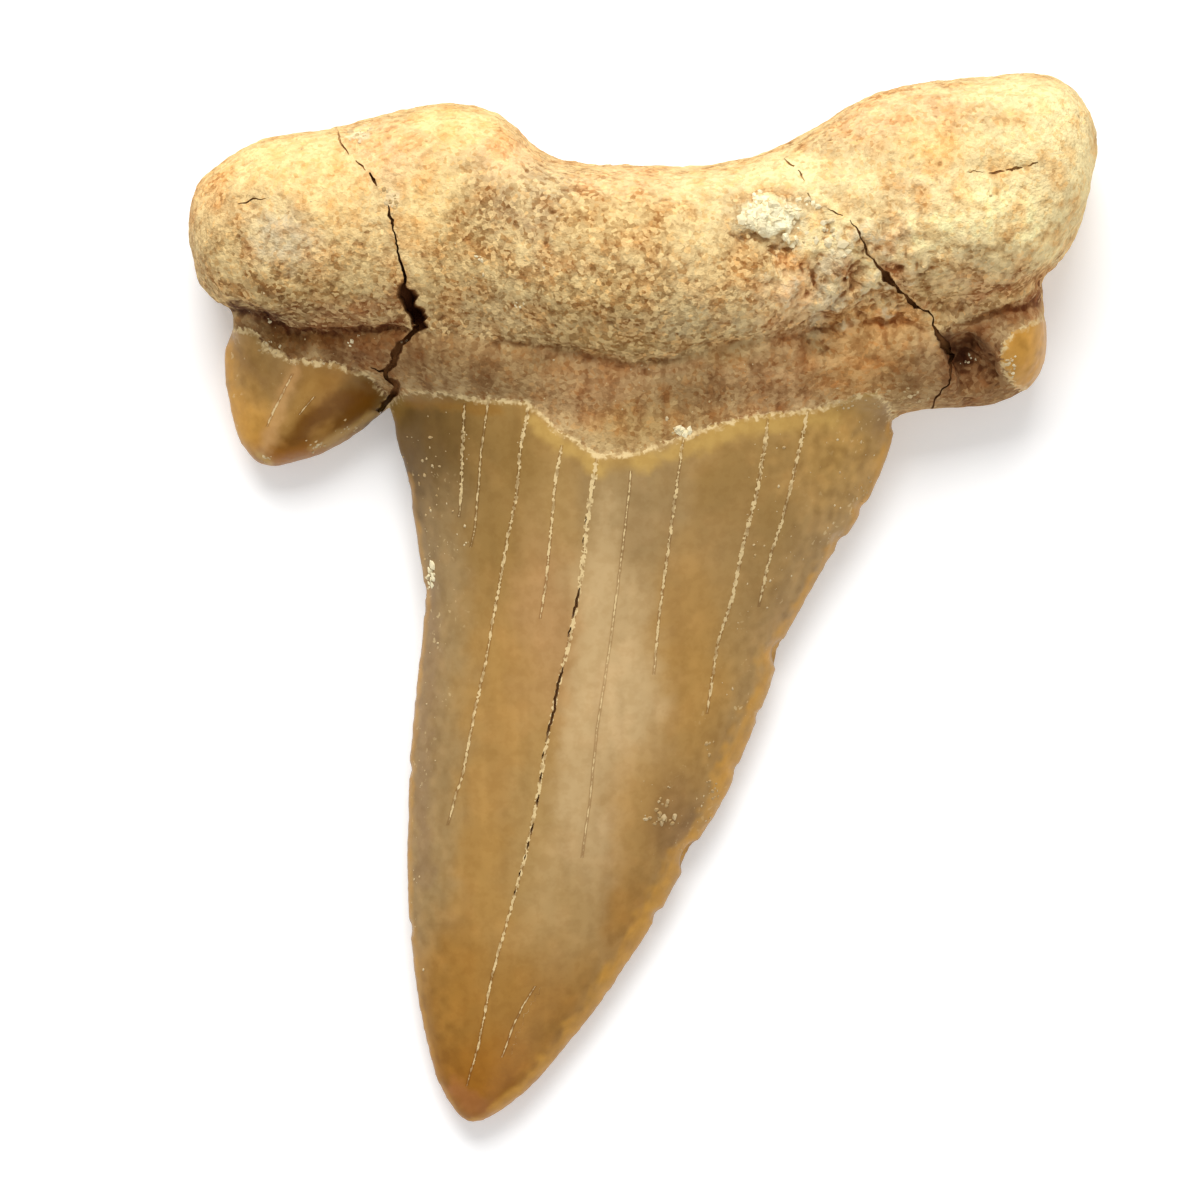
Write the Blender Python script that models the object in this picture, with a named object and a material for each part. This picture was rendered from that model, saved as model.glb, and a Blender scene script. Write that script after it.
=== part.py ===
"""Fossil shark tooth, lying on its flat lip-side face: one solid.

Metres, +Z up. The tooth lies along Y with its root at +Y and its tip at -Y, and its
swollen tongue side faces up. The origin is at the middle of the tooth's box, on the
surface that it lies on. The sizes below are in millimetres, which MM turns to metres.
"""

import math

import bmesh
import bpy
from mathutils import Matrix, Vector, noise

MM = 0.001
NODE = "shark_tooth"

# Driving dimensions
TOOTH_LENGTH = 55.0
TOOTH_WIDTH = 47.7

# How the skin is worked: the grain of the clay, the rounds of smoothing, the share of facets kept
CLAY_GRAIN = 0.24
SMOOTH_ROUNDS = 12
FACETS_KEPT = 0.05
RING_POINTS = 40
STEPS_BETWEEN_SLICES = 4

# Each slice: place along the form, its two edges, then heights of rim, crest and back.
# Crown slices run down Y from inside the root to the tip, and their edges are along X.
CROWN_SLICES = [
    (13.6, -12.6, 13.0, 3.2, 9.0, 0.4),
    (10.4, -13.2, 13.3, 2.8, 9.3, 0.3),
    (8.3, -12.9, 13.1, 2.5, 9.2, 0.3),
    (6.2, -12.3, 12.3, 2.3, 8.9, 0.3),
    (4.1, -12.0, 11.2, 2.2, 8.5, 0.35),
    (2.0, -11.7, 9.7, 2.1, 8.1, 0.4),
    (-0.1, -11.5, 8.5, 2.0, 7.7, 0.4),
    (-2.2, -11.6, 7.4, 1.9, 7.3, 0.4),
    (-4.3, -11.9, 6.8, 1.8, 7.0, 0.35),
    (-6.4, -12.1, 6.0, 1.8, 6.7, 0.3),
    (-8.5, -12.3, 5.1, 1.7, 6.4, 0.2),
    (-10.6, -12.3, 4.2, 1.7, 6.0, 0.1),
    (-12.7, -12.4, 2.9, 1.6, 5.6, 0.0),
    (-14.8, -12.4, 1.8, 1.6, 5.2, -0.1),
    (-16.9, -12.3, 0.6, 1.5, 4.8, -0.2),
    (-19.0, -12.1, -0.8, 1.5, 4.4, -0.25),
    (-21.1, -11.8, -2.2, 1.4, 4.0, -0.25),
    (-23.2, -11.35, -3.9, 1.4, 3.5, -0.1),
    (-25.3, -10.75, -5.6, 1.4, 3.0, 0.15),
    (-26.4, -10.15, -6.9, 1.4, 2.6, 0.4),
    (-27.2, -9.6, -8.1, 1.4, 2.1, 0.8),
    (-27.55, -9.0, -8.8, 1.4, 1.5, 1.3),
]

# Root slices run along X from the left lobe to the right one, and their edges are along Y.
ROOT_SLICES = [
    (-23.9, 19.4, 19.8, 4.4, 4.6, 4.2),
    (-23.7, 18.2, 20.9, 4.4, 6.3, 2.6),
    (-23.3, 16.7, 22.0, 4.4, 7.6, 1.4),
    (-22.5, 15.7, 22.6, 4.4, 8.7, 0.6),
    (-21.3, 15.1, 23.4, 4.4, 9.6, 0.1),
    (-19.6, 14.7, 24.2, 4.4, 10.2, -0.2),
    (-16.9, 14.3, 24.6, 4.4, 10.5, -0.3),
    (-14.3, 14.0, 25.2, 4.4, 10.8, -0.3),
    (-12.2, 13.8, 25.7, 4.5, 11.1, -0.2),
    (-10.1, 13.3, 26.0, 4.6, 11.6, 0.0),
    (-8.0, 12.8, 25.6, 4.7, 12.1, 0.2),
    (-6.9, 12.6, 24.9, 4.8, 12.4, 0.3),
    (-5.8, 12.4, 23.8, 4.9, 12.7, 0.4),
    (-4.4, 12.1, 23.0, 5.0, 13.1, 0.5),
    (-2.0, 11.8, 22.7, 5.0, 13.5, 0.5),
    (0.5, 11.7, 22.7, 5.0, 13.6, 0.5),
    (3.0, 12.1, 22.7, 5.0, 13.4, 0.5),
    (5.4, 12.6, 23.1, 5.0, 13.0, 0.4),
    (7.7, 13.1, 24.0, 4.8, 12.5, 0.3),
    (9.8, 13.7, 25.2, 4.7, 12.1, 0.1),
    (11.9, 14.2, 26.4, 4.6, 11.9, -0.1),
    (14.0, 14.6, 27.0, 4.5, 11.7, -0.3),
    (16.1, 14.9, 27.2, 4.5, 11.6, -0.3),
    (18.8, 15.5, 27.4, 4.5, 11.3, -0.3),
    (20.9, 16.8, 27.5, 4.5, 10.7, -0.1),
    (22.2, 18.3, 27.0, 4.5, 9.7, 0.4),
    (23.1, 20.2, 26.1, 4.6, 8.4, 1.2),
    (23.5, 21.8, 25.3, 4.7, 6.9, 2.5),
    (23.85, 23.7, 24.4, 4.8, 5.0, 4.6),
]

# Neck slices run along X under the root, and carry the side cusps.
NECK_SLICES = [
    (-21.5, 14.4, 15.4, 3.0, 3.2, 2.8),
    (-21.4, 13.6, 17.0, 3.0, 4.4, 1.6),
    (-20.6, 13.0, 18.6, 3.0, 5.4, 0.6),
    (-18.0, 12.3, 19.4, 3.0, 6.3, 0.2),
    (-15.4, 11.7, 19.6, 3.0, 7.3, 0.1),
    (-13.0, 10.8, 19.6, 3.2, 8.2, 0.1),
    (-10.1, 9.8, 19.6, 3.4, 9.2, 0.2),
    (-6.4, 8.6, 19.6, 3.6, 9.8, 0.3),
    (-1.7, 6.6, 19.6, 3.8, 10.2, 0.4),
    (3.0, 7.4, 19.6, 3.6, 10.0, 0.4),
    (7.2, 8.7, 19.6, 3.4, 9.6, 0.3),
    (10.9, 9.6, 19.6, 3.2, 9.0, 0.2),
    (13.2, 9.7, 19.6, 3.0, 8.5, 0.1),
    (14.9, 9.9, 19.6, 3.0, 8.0, 0.1),
    (16.7, 10.05, 19.6, 3.0, 7.6, 0.1),
    (18.8, 10.4, 19.4, 3.0, 7.2, 0.2),
    (20.1, 11.0, 19.0, 3.0, 6.6, 0.4),
    (20.75, 11.8, 17.8, 3.0, 5.6, 0.8),
    (21.0, 12.5, 15.8, 3.0, 4.4, 1.7),
    (21.1, 13.4, 13.9, 3.0, 3.2, 2.8),
]

# The left cusp's slices run down Y, as the crown's do.
CUSP_SLICES = [
    (14.4, -21.2, -13.6, 2.4, 5.4, 0.4),
    (13.3, -21.9, -13.2, 2.3, 5.5, 0.35),
    (12.5, -21.95, -13.1, 2.2, 5.4, 0.3),
    (11.4, -21.9, -13.1, 2.2, 5.2, 0.3),
    (10.4, -21.7, -13.2, 2.1, 4.9, 0.3),
    (9.4, -21.5, -14.2, 2.1, 4.5, 0.35),
    (8.4, -21.2, -15.6, 2.0, 4.0, 0.4),
    (7.7, -20.7, -17.0, 2.0, 3.5, 0.6),
    (7.3, -20.3, -18.3, 2.0, 2.9, 1.0),
    (7.0, -19.8, -19.2, 2.0, 2.2, 1.8),
]

# Powers that shape a slice, across it, up to its crest and down to its back: the larger, the
# thinner towards its edges
BLADE = (1.0, 1.55, 1.1)
LUMP = (0.86, 0.86, 0.7)
NECK = (0.92, 1.15, 0.5)

# Smoothing wears the thin edges of a blade back by this much, so they start that much wider
EDGE_WEAR = 0.04

# Lumps of the root's weathered upper side as (size of a lump, height), and where they fade out
ROOT_LUMPS = [(5.5, 0.34), (2.3, 0.17)]
LUMPS_START = 9.5
LUMPS_FULL = 14.5

# Pits and crevices in the root's upper side, as (x, y, half length, half width, depth)
DENTS = [
    (5.6, 19.0, 0.7, 0.5, 0.9),
    (7.1, 18.1, 0.7, 0.5, 0.8),
    (18.4, 22.4, 2.4, 0.35, 0.5),
    (-20.6, 20.6, 1.2, 0.3, 0.4),
    (9.4, 14.6, 1.2, 0.5, 0.35),
]

# The two breaks through the root, each as (x, y, half width) along its run
LEFT_BREAK = [
    (-16.1, 25.3, 0.15),
    (-15.3, 23.4, 0.14),
    (-13.9, 21.9, 0.14),
    (-13.3, 20.9, 0.12),
    (-12.9, 19.0, 0.14),
    (-12.5, 17.4, 0.2),
    (-12.3, 16.2, 0.55),
    (-11.8, 14.8, 0.5),
    (-11.9, 14.2, 0.2),
    (-12.6, 12.6, 0.2),
    (-13.1, 11.8, 0.18),
    (-12.9, 11.0, 0.2),
    (-13.6, 9.6, 0.2),
]
RIGHT_BREAK = [
    (7.2, 22.9, 0.1),
    (8.3, 21.1, 0.12),
    (10.1, 20.2, 0.12),
    (11.2, 19.3, 0.14),
    (12.2, 17.6, 0.18),
    (12.9, 16.7, 0.3),
    (13.7, 15.7, 0.22),
    (14.9, 14.9, 0.18),
    (15.2, 14.1, 0.2),
    (15.6, 13.4, 0.3),
    (16.2, 12.3, 0.22),
    (16.1, 11.5, 0.14),
    (15.4, 10.6, 0.12),
]
BREAK_FLOOR = 4.2
BREAK_TOP = 16.0
BREAK_FOOT_SHARE = 0.35

# The hollow left where the right cusp broke away: its outline from above, and how the outline
# draws in towards its middle going down, as (height, share)
BROKEN_CUSP_OUTLINE = [
    (15.6, 13.6),
    (17.3, 14.0),
    (18.3, 12.9),
    (19.0, 12.1),
    (19.3, 11.1),
    (18.3, 9.7),
    (16.0, 9.8),
    (16.4, 11.4),
]
BROKEN_CUSP_MIDDLE = (16.9, 12.3)
BROKEN_CUSP_STEPS = [(10.0, 1.15), (6.3, 0.95), (4.9, 0.5)]

# Depth of the block that cuts the tooth off flat at the surface that it lies on
FLAT_DEPTH = 30.0

ROOT_COLOUR = (0.62, 0.42, 0.22, 1.0)
ROOT_ROUGHNESS = 0.85


def clear_scene():
    for obj in list(bpy.data.objects):
        bpy.data.objects.remove(obj)


def between(before, start, end, after, share):
    """A Catmull-Rom curve's value a share of the way from start to end."""
    return 0.5 * (
        2 * start
        + (end - before) * share
        + (2 * before - 5 * start + 4 * end - after) * share**2
        + (3 * start - before - 3 * end + after) * share**3
    )


def smooth_slices(slices, steps):
    """The slices, with steps - 1 new ones on a smooth curve between each two."""
    ends = [slices[0], *slices, slices[-1]]
    found = []
    for i in range(len(slices) - 1):
        for step in range(steps):
            share = step / steps
            found.append([between(*four, share) for four in zip(*ends[i : i + 4])])
    found.append(list(slices[-1]))
    return found


def power(value, exponent):
    return math.copysign(abs(value) ** exponent, value)


def slice_ring(low, high, rim, crest, back, shape):
    """A closed ring as (across, up) points: crest above the rim, back below it."""
    across_power, crest_power, back_power = shape
    middle, half = (low + high) / 2, (high - low) / 2
    ring = []
    for i in range(RING_POINTS):
        angle = 2 * math.pi * i / RING_POINTS
        rise = math.sin(angle)
        across = middle + half * power(math.cos(angle), across_power)
        above = rise > 0
        reach = abs(rise) ** (crest_power if above else back_power)
        ring.append((across, rim + reach * ((crest if above else back) - rim)))
    return ring


def loft(bm, rings):
    """A closed form through rings of as many points each, by extruding each ring to the next."""
    count = len(rings[0])
    made = bmesh.ops.create_circle(bm, segments=count, radius=MM, cap_ends=True)
    start_cap = made["verts"][0].link_faces[0]
    all_faces = [start_cap]
    loop = list(start_cap.verts)
    for vert, point in zip(loop, rings[0]):
        vert.co = point
    for ring in rings[1:]:
        edges = [bm.edges.get((loop[i - 1], loop[i])) for i in range(count)]
        grown = bmesh.ops.extrude_edge_only(bm, edges=edges)["geom"]
        fresh = {g for g in grown if isinstance(g, bmesh.types.BMVert)}
        all_faces += [g for g in grown if isinstance(g, bmesh.types.BMFace)]
        loop = [
            next(e.other_vert(vert) for e in vert.link_edges if e.other_vert(vert) in fresh)
            for vert in loop
        ]
        for vert, point in zip(loop, ring):
            vert.co = point
    all_faces.append(bm.faces.new(loop))
    bmesh.ops.recalc_face_normals(bm, faces=all_faces)


def add_form(bm, slices, shape, along, wear=0.0):
    """One form of the tooth, from its slices along X or along Y."""
    rings = []
    for place, low, high, rim, crest, back in smooth_slices(slices, STEPS_BETWEEN_SLICES):
        ring = slice_ring(low - wear, high + wear, rim, crest, back, shape)
        rings.append(
            [Vector((place, a, z) if along == "X" else (a, place, z)) * MM for a, z in ring]
        )
    loft(bm, rings)


def mesh_object(name, bm):
    mesh = bpy.data.meshes.new(name)
    bm.to_mesh(mesh)
    bm.free()
    obj = bpy.data.objects.new(name, mesh)
    bpy.context.scene.collection.objects.link(obj)
    return obj


def hide_cutter(obj):
    obj.hide_render = True
    obj.display_type = "WIRE"
    return obj


def bake_modifiers(obj):
    """Replaces the object's mesh by the mesh that its modifiers make."""
    bpy.context.view_layer.update()
    graph = bpy.context.evaluated_depsgraph_get()
    finished = bpy.data.meshes.new_from_object(obj.evaluated_get(graph))
    obj.modifiers.clear()
    obj.data = finished


def tooth_skin():
    """Root, neck, crown and left cusp as overlapping forms, then one smooth skin over all."""
    bm = bmesh.new()
    add_form(bm, CROWN_SLICES, BLADE, "Y", EDGE_WEAR)
    add_form(bm, ROOT_SLICES, LUMP, "X")
    add_form(bm, NECK_SLICES, NECK, "X")
    add_form(bm, CUSP_SLICES, BLADE, "Y", EDGE_WEAR)
    body = mesh_object(NODE, bm)
    skin = body.modifiers.new("one_skin", "REMESH")
    skin.mode = "VOXEL"
    skin.voxel_size = CLAY_GRAIN * MM
    smooth = body.modifiers.new("smooth", "SMOOTH")
    smooth.factor = 0.5
    smooth.iterations = SMOOTH_ROUNDS
    bake_modifiers(body)
    return body


def fade_in(value, start, full):
    share = min(max((value - start) / (full - start), 0), 1)
    return share * share * (3 - 2 * share)


def root_relief(point, facing_up):
    """How far the root's skin stands out at a point, in millimetres: its lumps, less its pits."""
    weathered = fade_in(point.y, LUMPS_START, LUMPS_FULL) * fade_in(facing_up, 0, 1)
    height = 0
    for size, rise in ROOT_LUMPS:
        height += weathered * rise * noise.noise(point / size)
    for x, y, half_length, half_width, depth in DENTS:
        far = ((point.x - x) / half_length) ** 2 + ((point.y - y) / half_width) ** 2
        height -= depth * math.exp(-far) * fade_in(point.z, BREAK_FLOOR, BREAK_FLOOR + 1)
    return height


def weather_root(body):
    """Moves the skin's points along their normals by the root's relief."""
    verts = body.data.vertices
    moved = [v.co + v.normal * root_relief(v.co / MM, v.normal.z) * MM for v in verts]
    for vert, place in zip(verts, moved):
        vert.co = place


def thin_out(body):
    fewer = body.modifiers.new("fewer_facets", "DECIMATE")
    fewer.ratio = FACETS_KEPT
    bake_modifiers(body)


def break_cutter(name, run):
    """A wedge that stands on the break's run: as wide as the break above, narrower at its foot."""
    rings = []
    for i, (x, y, half_width) in enumerate(run):
        before = run[max(i - 1, 0)]
        after = run[min(i + 1, len(run) - 1)]
        way = Vector((after[0] - before[0], after[1] - before[1])).normalized()
        aside = Vector((-way.y, way.x, 0)) * half_width
        top, foot = Vector((x, y, BREAK_TOP)), Vector((x, y, BREAK_FLOOR))
        narrow = aside * BREAK_FOOT_SHARE
        rings.append([p * MM for p in (top + aside, top - aside, foot - narrow, foot + narrow)])
    bm = bmesh.new()
    loft(bm, rings)
    return hide_cutter(mesh_object(name, bm))


def broken_cusp_cutter():
    """An angular plug that leaves the hollow of a break, steep above and drawn in below."""
    middle = Vector(BROKEN_CUSP_MIDDLE)
    rings = []
    for height, share in BROKEN_CUSP_STEPS:
        ring = [middle + (Vector(point) - middle) * share for point in BROKEN_CUSP_OUTLINE]
        rings.append([Vector((point.x, point.y, height)) * MM for point in ring])
    bm = bmesh.new()
    loft(bm, rings)
    return hide_cutter(mesh_object("broken_cusp_cutter", bm))


def floor_cutter():
    """Takes what would stand below the surface, which leaves the flats that the tooth lies on."""
    bm = bmesh.new()
    bmesh.ops.create_cube(bm, size=1.0)
    sizes = Vector((2 * TOOTH_WIDTH, 2 * TOOTH_LENGTH, FLAT_DEPTH)) * MM
    bmesh.ops.scale(bm, vec=sizes, verts=bm.verts[:])
    bmesh.ops.translate(bm, vec=(0, 0, -FLAT_DEPTH / 2 * MM), verts=bm.verts[:])
    return hide_cutter(mesh_object("floor_cutter", bm))


def cut(body, cutter):
    taken = body.modifiers.new(cutter.name, "BOOLEAN")
    taken.operation = "DIFFERENCE"
    taken.solver = "EXACT"
    taken.object = cutter


def fit_to_length(body):
    """Brings the skin to the driving length and width, with its box's middle over the origin."""
    xs, ys = ([v.co[axis] for v in body.data.vertices] for axis in (0, 1))
    wide, long = max(xs) - min(xs), max(ys) - min(ys)
    middle = Vector((min(xs) + wide / 2, min(ys) + long / 2, 0))
    sizes = (TOOTH_WIDTH * MM / wide, TOOTH_LENGTH * MM / long, 1, 1)
    body.data.transform(Matrix.Diagonal(sizes) @ Matrix.Translation(-middle))


def root_material():
    material = bpy.data.materials.new("fossil")
    material.use_nodes = True
    shader = material.node_tree.nodes["Principled BSDF"]
    shader.inputs["Base Color"].default_value = ROOT_COLOUR
    shader.inputs["Roughness"].default_value = ROOT_ROUGHNESS
    shader.inputs["Metallic"].default_value = 0.0
    return material


def main():
    clear_scene()
    body = tooth_skin()
    weather_root(body)
    thin_out(body)
    fit_to_length(body)
    for cutter in (
        broken_cusp_cutter(),
        break_cutter("left_break_cutter", LEFT_BREAK),
        break_cutter("right_break_cutter", RIGHT_BREAK),
        floor_cutter(),
    ):
        cut(body, cutter)
    body.data.materials.clear()
    body.data.materials.append(root_material())


main()
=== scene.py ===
"""The looks of a fossil shark tooth that lies on its lip side: sandy root, brown neck, glossy enamel.

Laid out as a Blender add-on, and run as a script. Sizes in the code are in millimetres, which MM
turns to metres. Places that were read from the photograph are in its 1200-pixel frame, and spot()
turns them to millimetres on the tooth.
"""

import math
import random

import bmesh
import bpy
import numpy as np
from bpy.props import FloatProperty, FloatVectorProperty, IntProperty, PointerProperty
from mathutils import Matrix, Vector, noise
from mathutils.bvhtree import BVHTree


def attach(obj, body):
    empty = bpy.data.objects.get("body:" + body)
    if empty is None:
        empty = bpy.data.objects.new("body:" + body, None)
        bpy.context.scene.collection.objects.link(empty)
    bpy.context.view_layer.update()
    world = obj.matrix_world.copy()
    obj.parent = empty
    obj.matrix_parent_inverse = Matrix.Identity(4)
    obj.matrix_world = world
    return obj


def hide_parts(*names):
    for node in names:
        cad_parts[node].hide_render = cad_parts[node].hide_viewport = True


bl_info = {
    "name": "Fossil Shark Tooth",
    "version": (1, 0, 0),
    "blender": (4, 5, 0),
    "location": "3D View > Sidebar > Tooth",
    "description": "Carves, stains and lights a fossil shark tooth round its packed solid",
    "category": "Object",
}

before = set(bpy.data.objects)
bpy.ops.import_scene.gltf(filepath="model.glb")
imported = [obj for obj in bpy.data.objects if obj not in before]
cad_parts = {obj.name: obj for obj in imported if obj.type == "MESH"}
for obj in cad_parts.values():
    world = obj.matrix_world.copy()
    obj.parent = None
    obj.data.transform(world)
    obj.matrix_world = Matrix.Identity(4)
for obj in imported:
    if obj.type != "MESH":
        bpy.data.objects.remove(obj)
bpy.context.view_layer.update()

MM = 0.001
NODE = "shark_tooth"
BODY = "root"

# Height in millimetres, well above the tooth, from which its surface is felt for
FEELER_HEIGHT = 30

# The photograph's scale: millimetres a pixel, and the pixel over the tooth's origin
PHOTO_MM = 0.0525
PHOTO_MIDDLE = (642.5, 598.5)
PHOTO_SIDE = 1200

# Outlines of the enamel on the upper side, read from the photograph
CROWN_ENAMEL = [
    (386, 412), (402, 392), (446, 394), (480, 399), (528, 403), (554, 428), (577, 441), (597, 457),
    (635, 454), (680, 438), (719, 425), (745, 417), (772, 415), (812, 410), (849, 398), (876, 391),
    (889, 404), (900, 440), (900, 1140), (380, 1140),
]
CUSP_ENAMEL = [
    (222, 325), (236, 329), (254, 331), (268, 348), (293, 360), (335, 364), (352, 371), (368, 374),
    (388, 398), (386, 412), (392, 480), (200, 480), (200, 325),
]
STUB_ENAMEL = [(1003, 341), (1012, 333), (1050, 314), (1060, 400), (1014, 388), (1001, 366)]

# The root's overhanging ledge from left to right, each place with how strongly it stands out
LEDGE_LINE = [
    (225, 303, 1.0), (262, 308, 1.0), (276, 321, 1.0), (306, 329, 1.0), (345, 329, 1.0), (384, 324, 1.0),
    (410, 329, 0.7), (440, 332, 0.2), (480, 335, 0.2), (520, 340, 0.35), (560, 346, 0.4), (591, 352, 0.4),
    (640, 362, 0.4), (674, 355, 0.4), (717, 343, 0.3), (745, 338, 0.2), (800, 330, 0.3), (850, 318, 0.6),
    (900, 316, 0.5), (938, 330, 0.3), (975, 316, 0.7), (1010, 303, 0.8), (1050, 296, 0.8),
]

# The breaks' runs as the solid has them, (x, y, half width) in millimetres, and their floor
LEFT_SLOT = [
    (-16.1, 25.3, 0.15), (-15.3, 23.4, 0.14), (-13.9, 21.9, 0.14), (-13.3, 20.9, 0.12),
    (-12.9, 19.0, 0.14), (-12.5, 17.4, 0.2), (-12.3, 16.2, 0.55), (-11.8, 14.8, 0.5),
    (-11.9, 14.2, 0.2), (-12.6, 12.6, 0.2), (-13.1, 11.8, 0.18), (-12.9, 11.0, 0.2),
    (-13.6, 9.6, 0.2),
]
RIGHT_SLOT = [
    (7.2, 22.9, 0.1), (8.3, 21.1, 0.12), (10.1, 20.2, 0.12), (11.2, 19.3, 0.14),
    (12.2, 17.6, 0.18), (12.9, 16.7, 0.3), (13.7, 15.7, 0.22), (14.9, 14.9, 0.18),
    (15.2, 14.1, 0.2), (15.6, 13.4, 0.3), (16.2, 12.3, 0.22), (16.1, 11.5, 0.14),
    (15.4, 10.6, 0.12),
]
SLOT_FLOOR = 4.2

# The breaks, the crown's split and the pits, each as a run of places along it as the photograph
# shows it: (pixel x, pixel y, width in pixels, depth in mm)
LEFT_BREAK = [
    (389, 207, 3, 0.2), (392, 218, 7, 0.7), (394, 228, 4, 0.6), (396, 238, 3, 0.7), (399, 254, 4, 0.8),
    (404, 270, 5, 1.0), (407, 284, 6, 1.4), (406, 292, 22, 1.7), (410, 303, 25, 2.0), (416, 316, 25, 2.0),
    (421, 327, 20, 1.6), (415, 333, 10, 0.9), (407, 339, 11, 0.8), (401, 346, 13, 0.8), (396, 356, 17, 0.9),
    (392, 365, 16, 0.9), (387, 371, 11, 0.8), (387, 379, 9, 0.8), (394, 387, 13, 0.9), (392, 395, 15, 1.1),
    (385, 402, 12, 1.0), (378, 412, 11, 1.0),
]
LEFT_SPOTS = [
    [(334, 122, 2, 0.1), (337, 130, 5, 0.4), (341, 138, 4, 0.3), (344, 147, 5, 0.4), (350, 157, 3, 0.2)],
    [(357, 163, 3, 0.1), (362, 169, 5, 0.3), (367, 173, 2, 0.1)],
    [(371, 175, 4, 0.4), (375, 182, 7, 0.7), (378, 189, 3, 0.3)],
]
LEFT_TWIG = [(388, 370, 7, 0.8), (380, 370, 5, 0.6), (371, 368, 2, 0.3)]
RIGHT_BREAK = [
    (848, 223, 2, 0.2), (853, 230, 3, 0.3), (856, 236, 6, 0.4), (861, 243, 3, 0.4), (865, 252, 7, 0.5),
    (870, 260, 3, 0.4), (875, 268, 7, 0.5), (880, 273, 6, 0.7), (884, 277, 18, 1.0), (889, 284, 16, 0.9),
    (894, 288, 5, 0.6), (898, 292, 10, 0.6), (902, 296, 4, 0.5), (908, 302, 12, 0.7), (914, 308, 9, 0.6),
    (920, 311, 3, 0.4), (926, 314, 6, 0.5), (931, 319, 3, 0.4), (933, 328, 7, 0.6), (938, 336, 10, 0.8),
    (945, 345, 20, 1.3), (949, 356, 12, 0.9), (951, 368, 5, 0.5), (950, 379, 5, 0.4), (942, 390, 4, 0.4),
    (935, 400, 5, 0.4), (931, 412, 4, 0.4),
]
RIGHT_SPOTS = [
    [(783, 161, 2, 0.1), (788, 166, 6, 0.3), (793, 169, 4, 0.2)],
    [(797, 173, 3, 0.15), (800, 178, 6, 0.3), (803, 184, 2, 0.1)],
    [(806, 196, 3, 0.1), (810, 204, 5, 0.25), (816, 208, 2, 0.1)],
    [(826, 212, 2, 0.1), (834, 215, 5, 0.25), (841, 219, 2, 0.1)],
]
CROWN_SPLIT = [
    [(586, 517, 2, 0.1), (586, 520, 3, 0.2), (585, 524, 2, 0.1)],
    [(584, 537, 2, 0.1), (583, 541, 3, 0.2), (583, 545, 2, 0.1)],
    [(580, 588, 3, 0.15), (578, 596, 6, 0.4), (576, 606, 7, 0.45), (573, 615, 5, 0.4), (572, 619, 3, 0.15)],
    [(571, 627, 3, 0.15), (570, 631, 5, 0.3), (568, 637, 3, 0.15)],
    [(563, 667, 3, 0.15), (560, 676, 6, 0.4), (557, 691, 6, 0.45), (555, 704, 7, 0.45), (552, 718, 6, 0.45),
     (549, 730, 6, 0.4), (546, 742, 3, 0.15)],
    [(544, 751, 2, 0.1), (543, 755, 4, 0.25), (542, 759, 2, 0.1)],
    [(542, 772, 3, 0.1), (541, 777, 5, 0.35), (540, 784, 3, 0.1)],
    [(539, 794, 3, 0.1), (538, 801, 6, 0.35), (537, 807, 3, 0.1)],
    [(534, 823, 3, 0.1), (532, 829, 6, 0.35), (531, 835, 3, 0.1)],
    [(529, 841, 3, 0.1), (528, 845, 5, 0.3), (527, 849, 3, 0.1)],
    [(526, 854, 2, 0.1), (525, 857, 4, 0.25), (524, 860, 2, 0.1)],
    [(521, 870, 2, 0.1), (520, 873, 4, 0.25), (519, 877, 2, 0.1)],
    [(516, 889, 2, 0.1), (515, 892, 4, 0.2), (514, 896, 2, 0.1)],
]
PITS = [
    [(964, 175, 2, 0.1), (970, 174, 4, 0.12), (977, 175, 3, 0.12), (982, 175, 1, 0.1)],
    [(986, 176, 2, 0.1), (993, 176, 8, 0.2), (998, 175, 7, 0.18), (1002, 174, 2, 0.1)],
    [(1003, 173, 3, 0.1), (1009, 171, 9, 0.22), (1015, 172, 7, 0.2), (1020, 170, 2, 0.1)],
    [(1025, 169, 2, 0.1), (1030, 167, 5, 0.15), (1035, 165, 2, 0.1)],
    [(240, 206, 2, 0.1), (250, 203, 6, 0.2), (258, 201, 4, 0.18), (268, 201, 2, 0.1)],
]

# The root's short cuts, and everything that is cut into the skin
SPOT_CUTS = [*PITS, *LEFT_SPOTS, *RIGHT_SPOTS]
ALL_CUTS = [LEFT_BREAK, LEFT_TWIG, RIGHT_BREAK, *CROWN_SPLIT, *SPOT_CUTS]

# Fine cracks down the enamel, each as its first and last width in pixels and its places
HAIRLINES = [
    (3.6, 2.2, [(465, 404), (463, 446), (461, 496), (459, 524)]),
    (2.0, 1.5, [(489, 400), (482, 446), (478, 496), (475, 529), (469, 556)]),
    (3.4, 1.8, [(529, 402), (528, 415), (521, 446), (517, 496), (508, 537), (501, 577), (493, 620),
                (487, 657), (475, 711), (463, 774), (455, 798), (446, 833)]),
    (3.0, 1.6, [(562, 446), (556, 479), (552, 521), (550, 546), (546, 584), (539, 627)]),
    (5.0, 1.5, [(597, 457), (594, 479), (587, 521), (585, 546), (579, 592), (572, 630), (560, 677),
                (548, 736), (538, 794), (534, 815), (526, 853), (514, 898), (497, 957), (489, 990),
                (479, 1044), (464, 1095)]),
    (1.4, 0.9, [(631, 470), (629, 492), (625, 528), (616, 600), (609, 651), (604, 684), (597, 728),
                (590, 800), (580, 870)]),
    (3.0, 1.8, [(683, 440), (678, 475), (669, 542), (659, 615), (653, 682)]),
    (3.9, 2.5, [(767, 420), (765, 442), (756, 494), (742, 549), (732, 599), (717, 645), (706, 720)]),
    (3.6, 2.0, [(807, 412), (795, 467), (784, 513), (768, 563), (757, 614)]),
]
TIP_HAIRLINE = (1.2, [(537, 983), (524, 1004), (513, 1026), (505, 1050), (500, 1062)])
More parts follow.
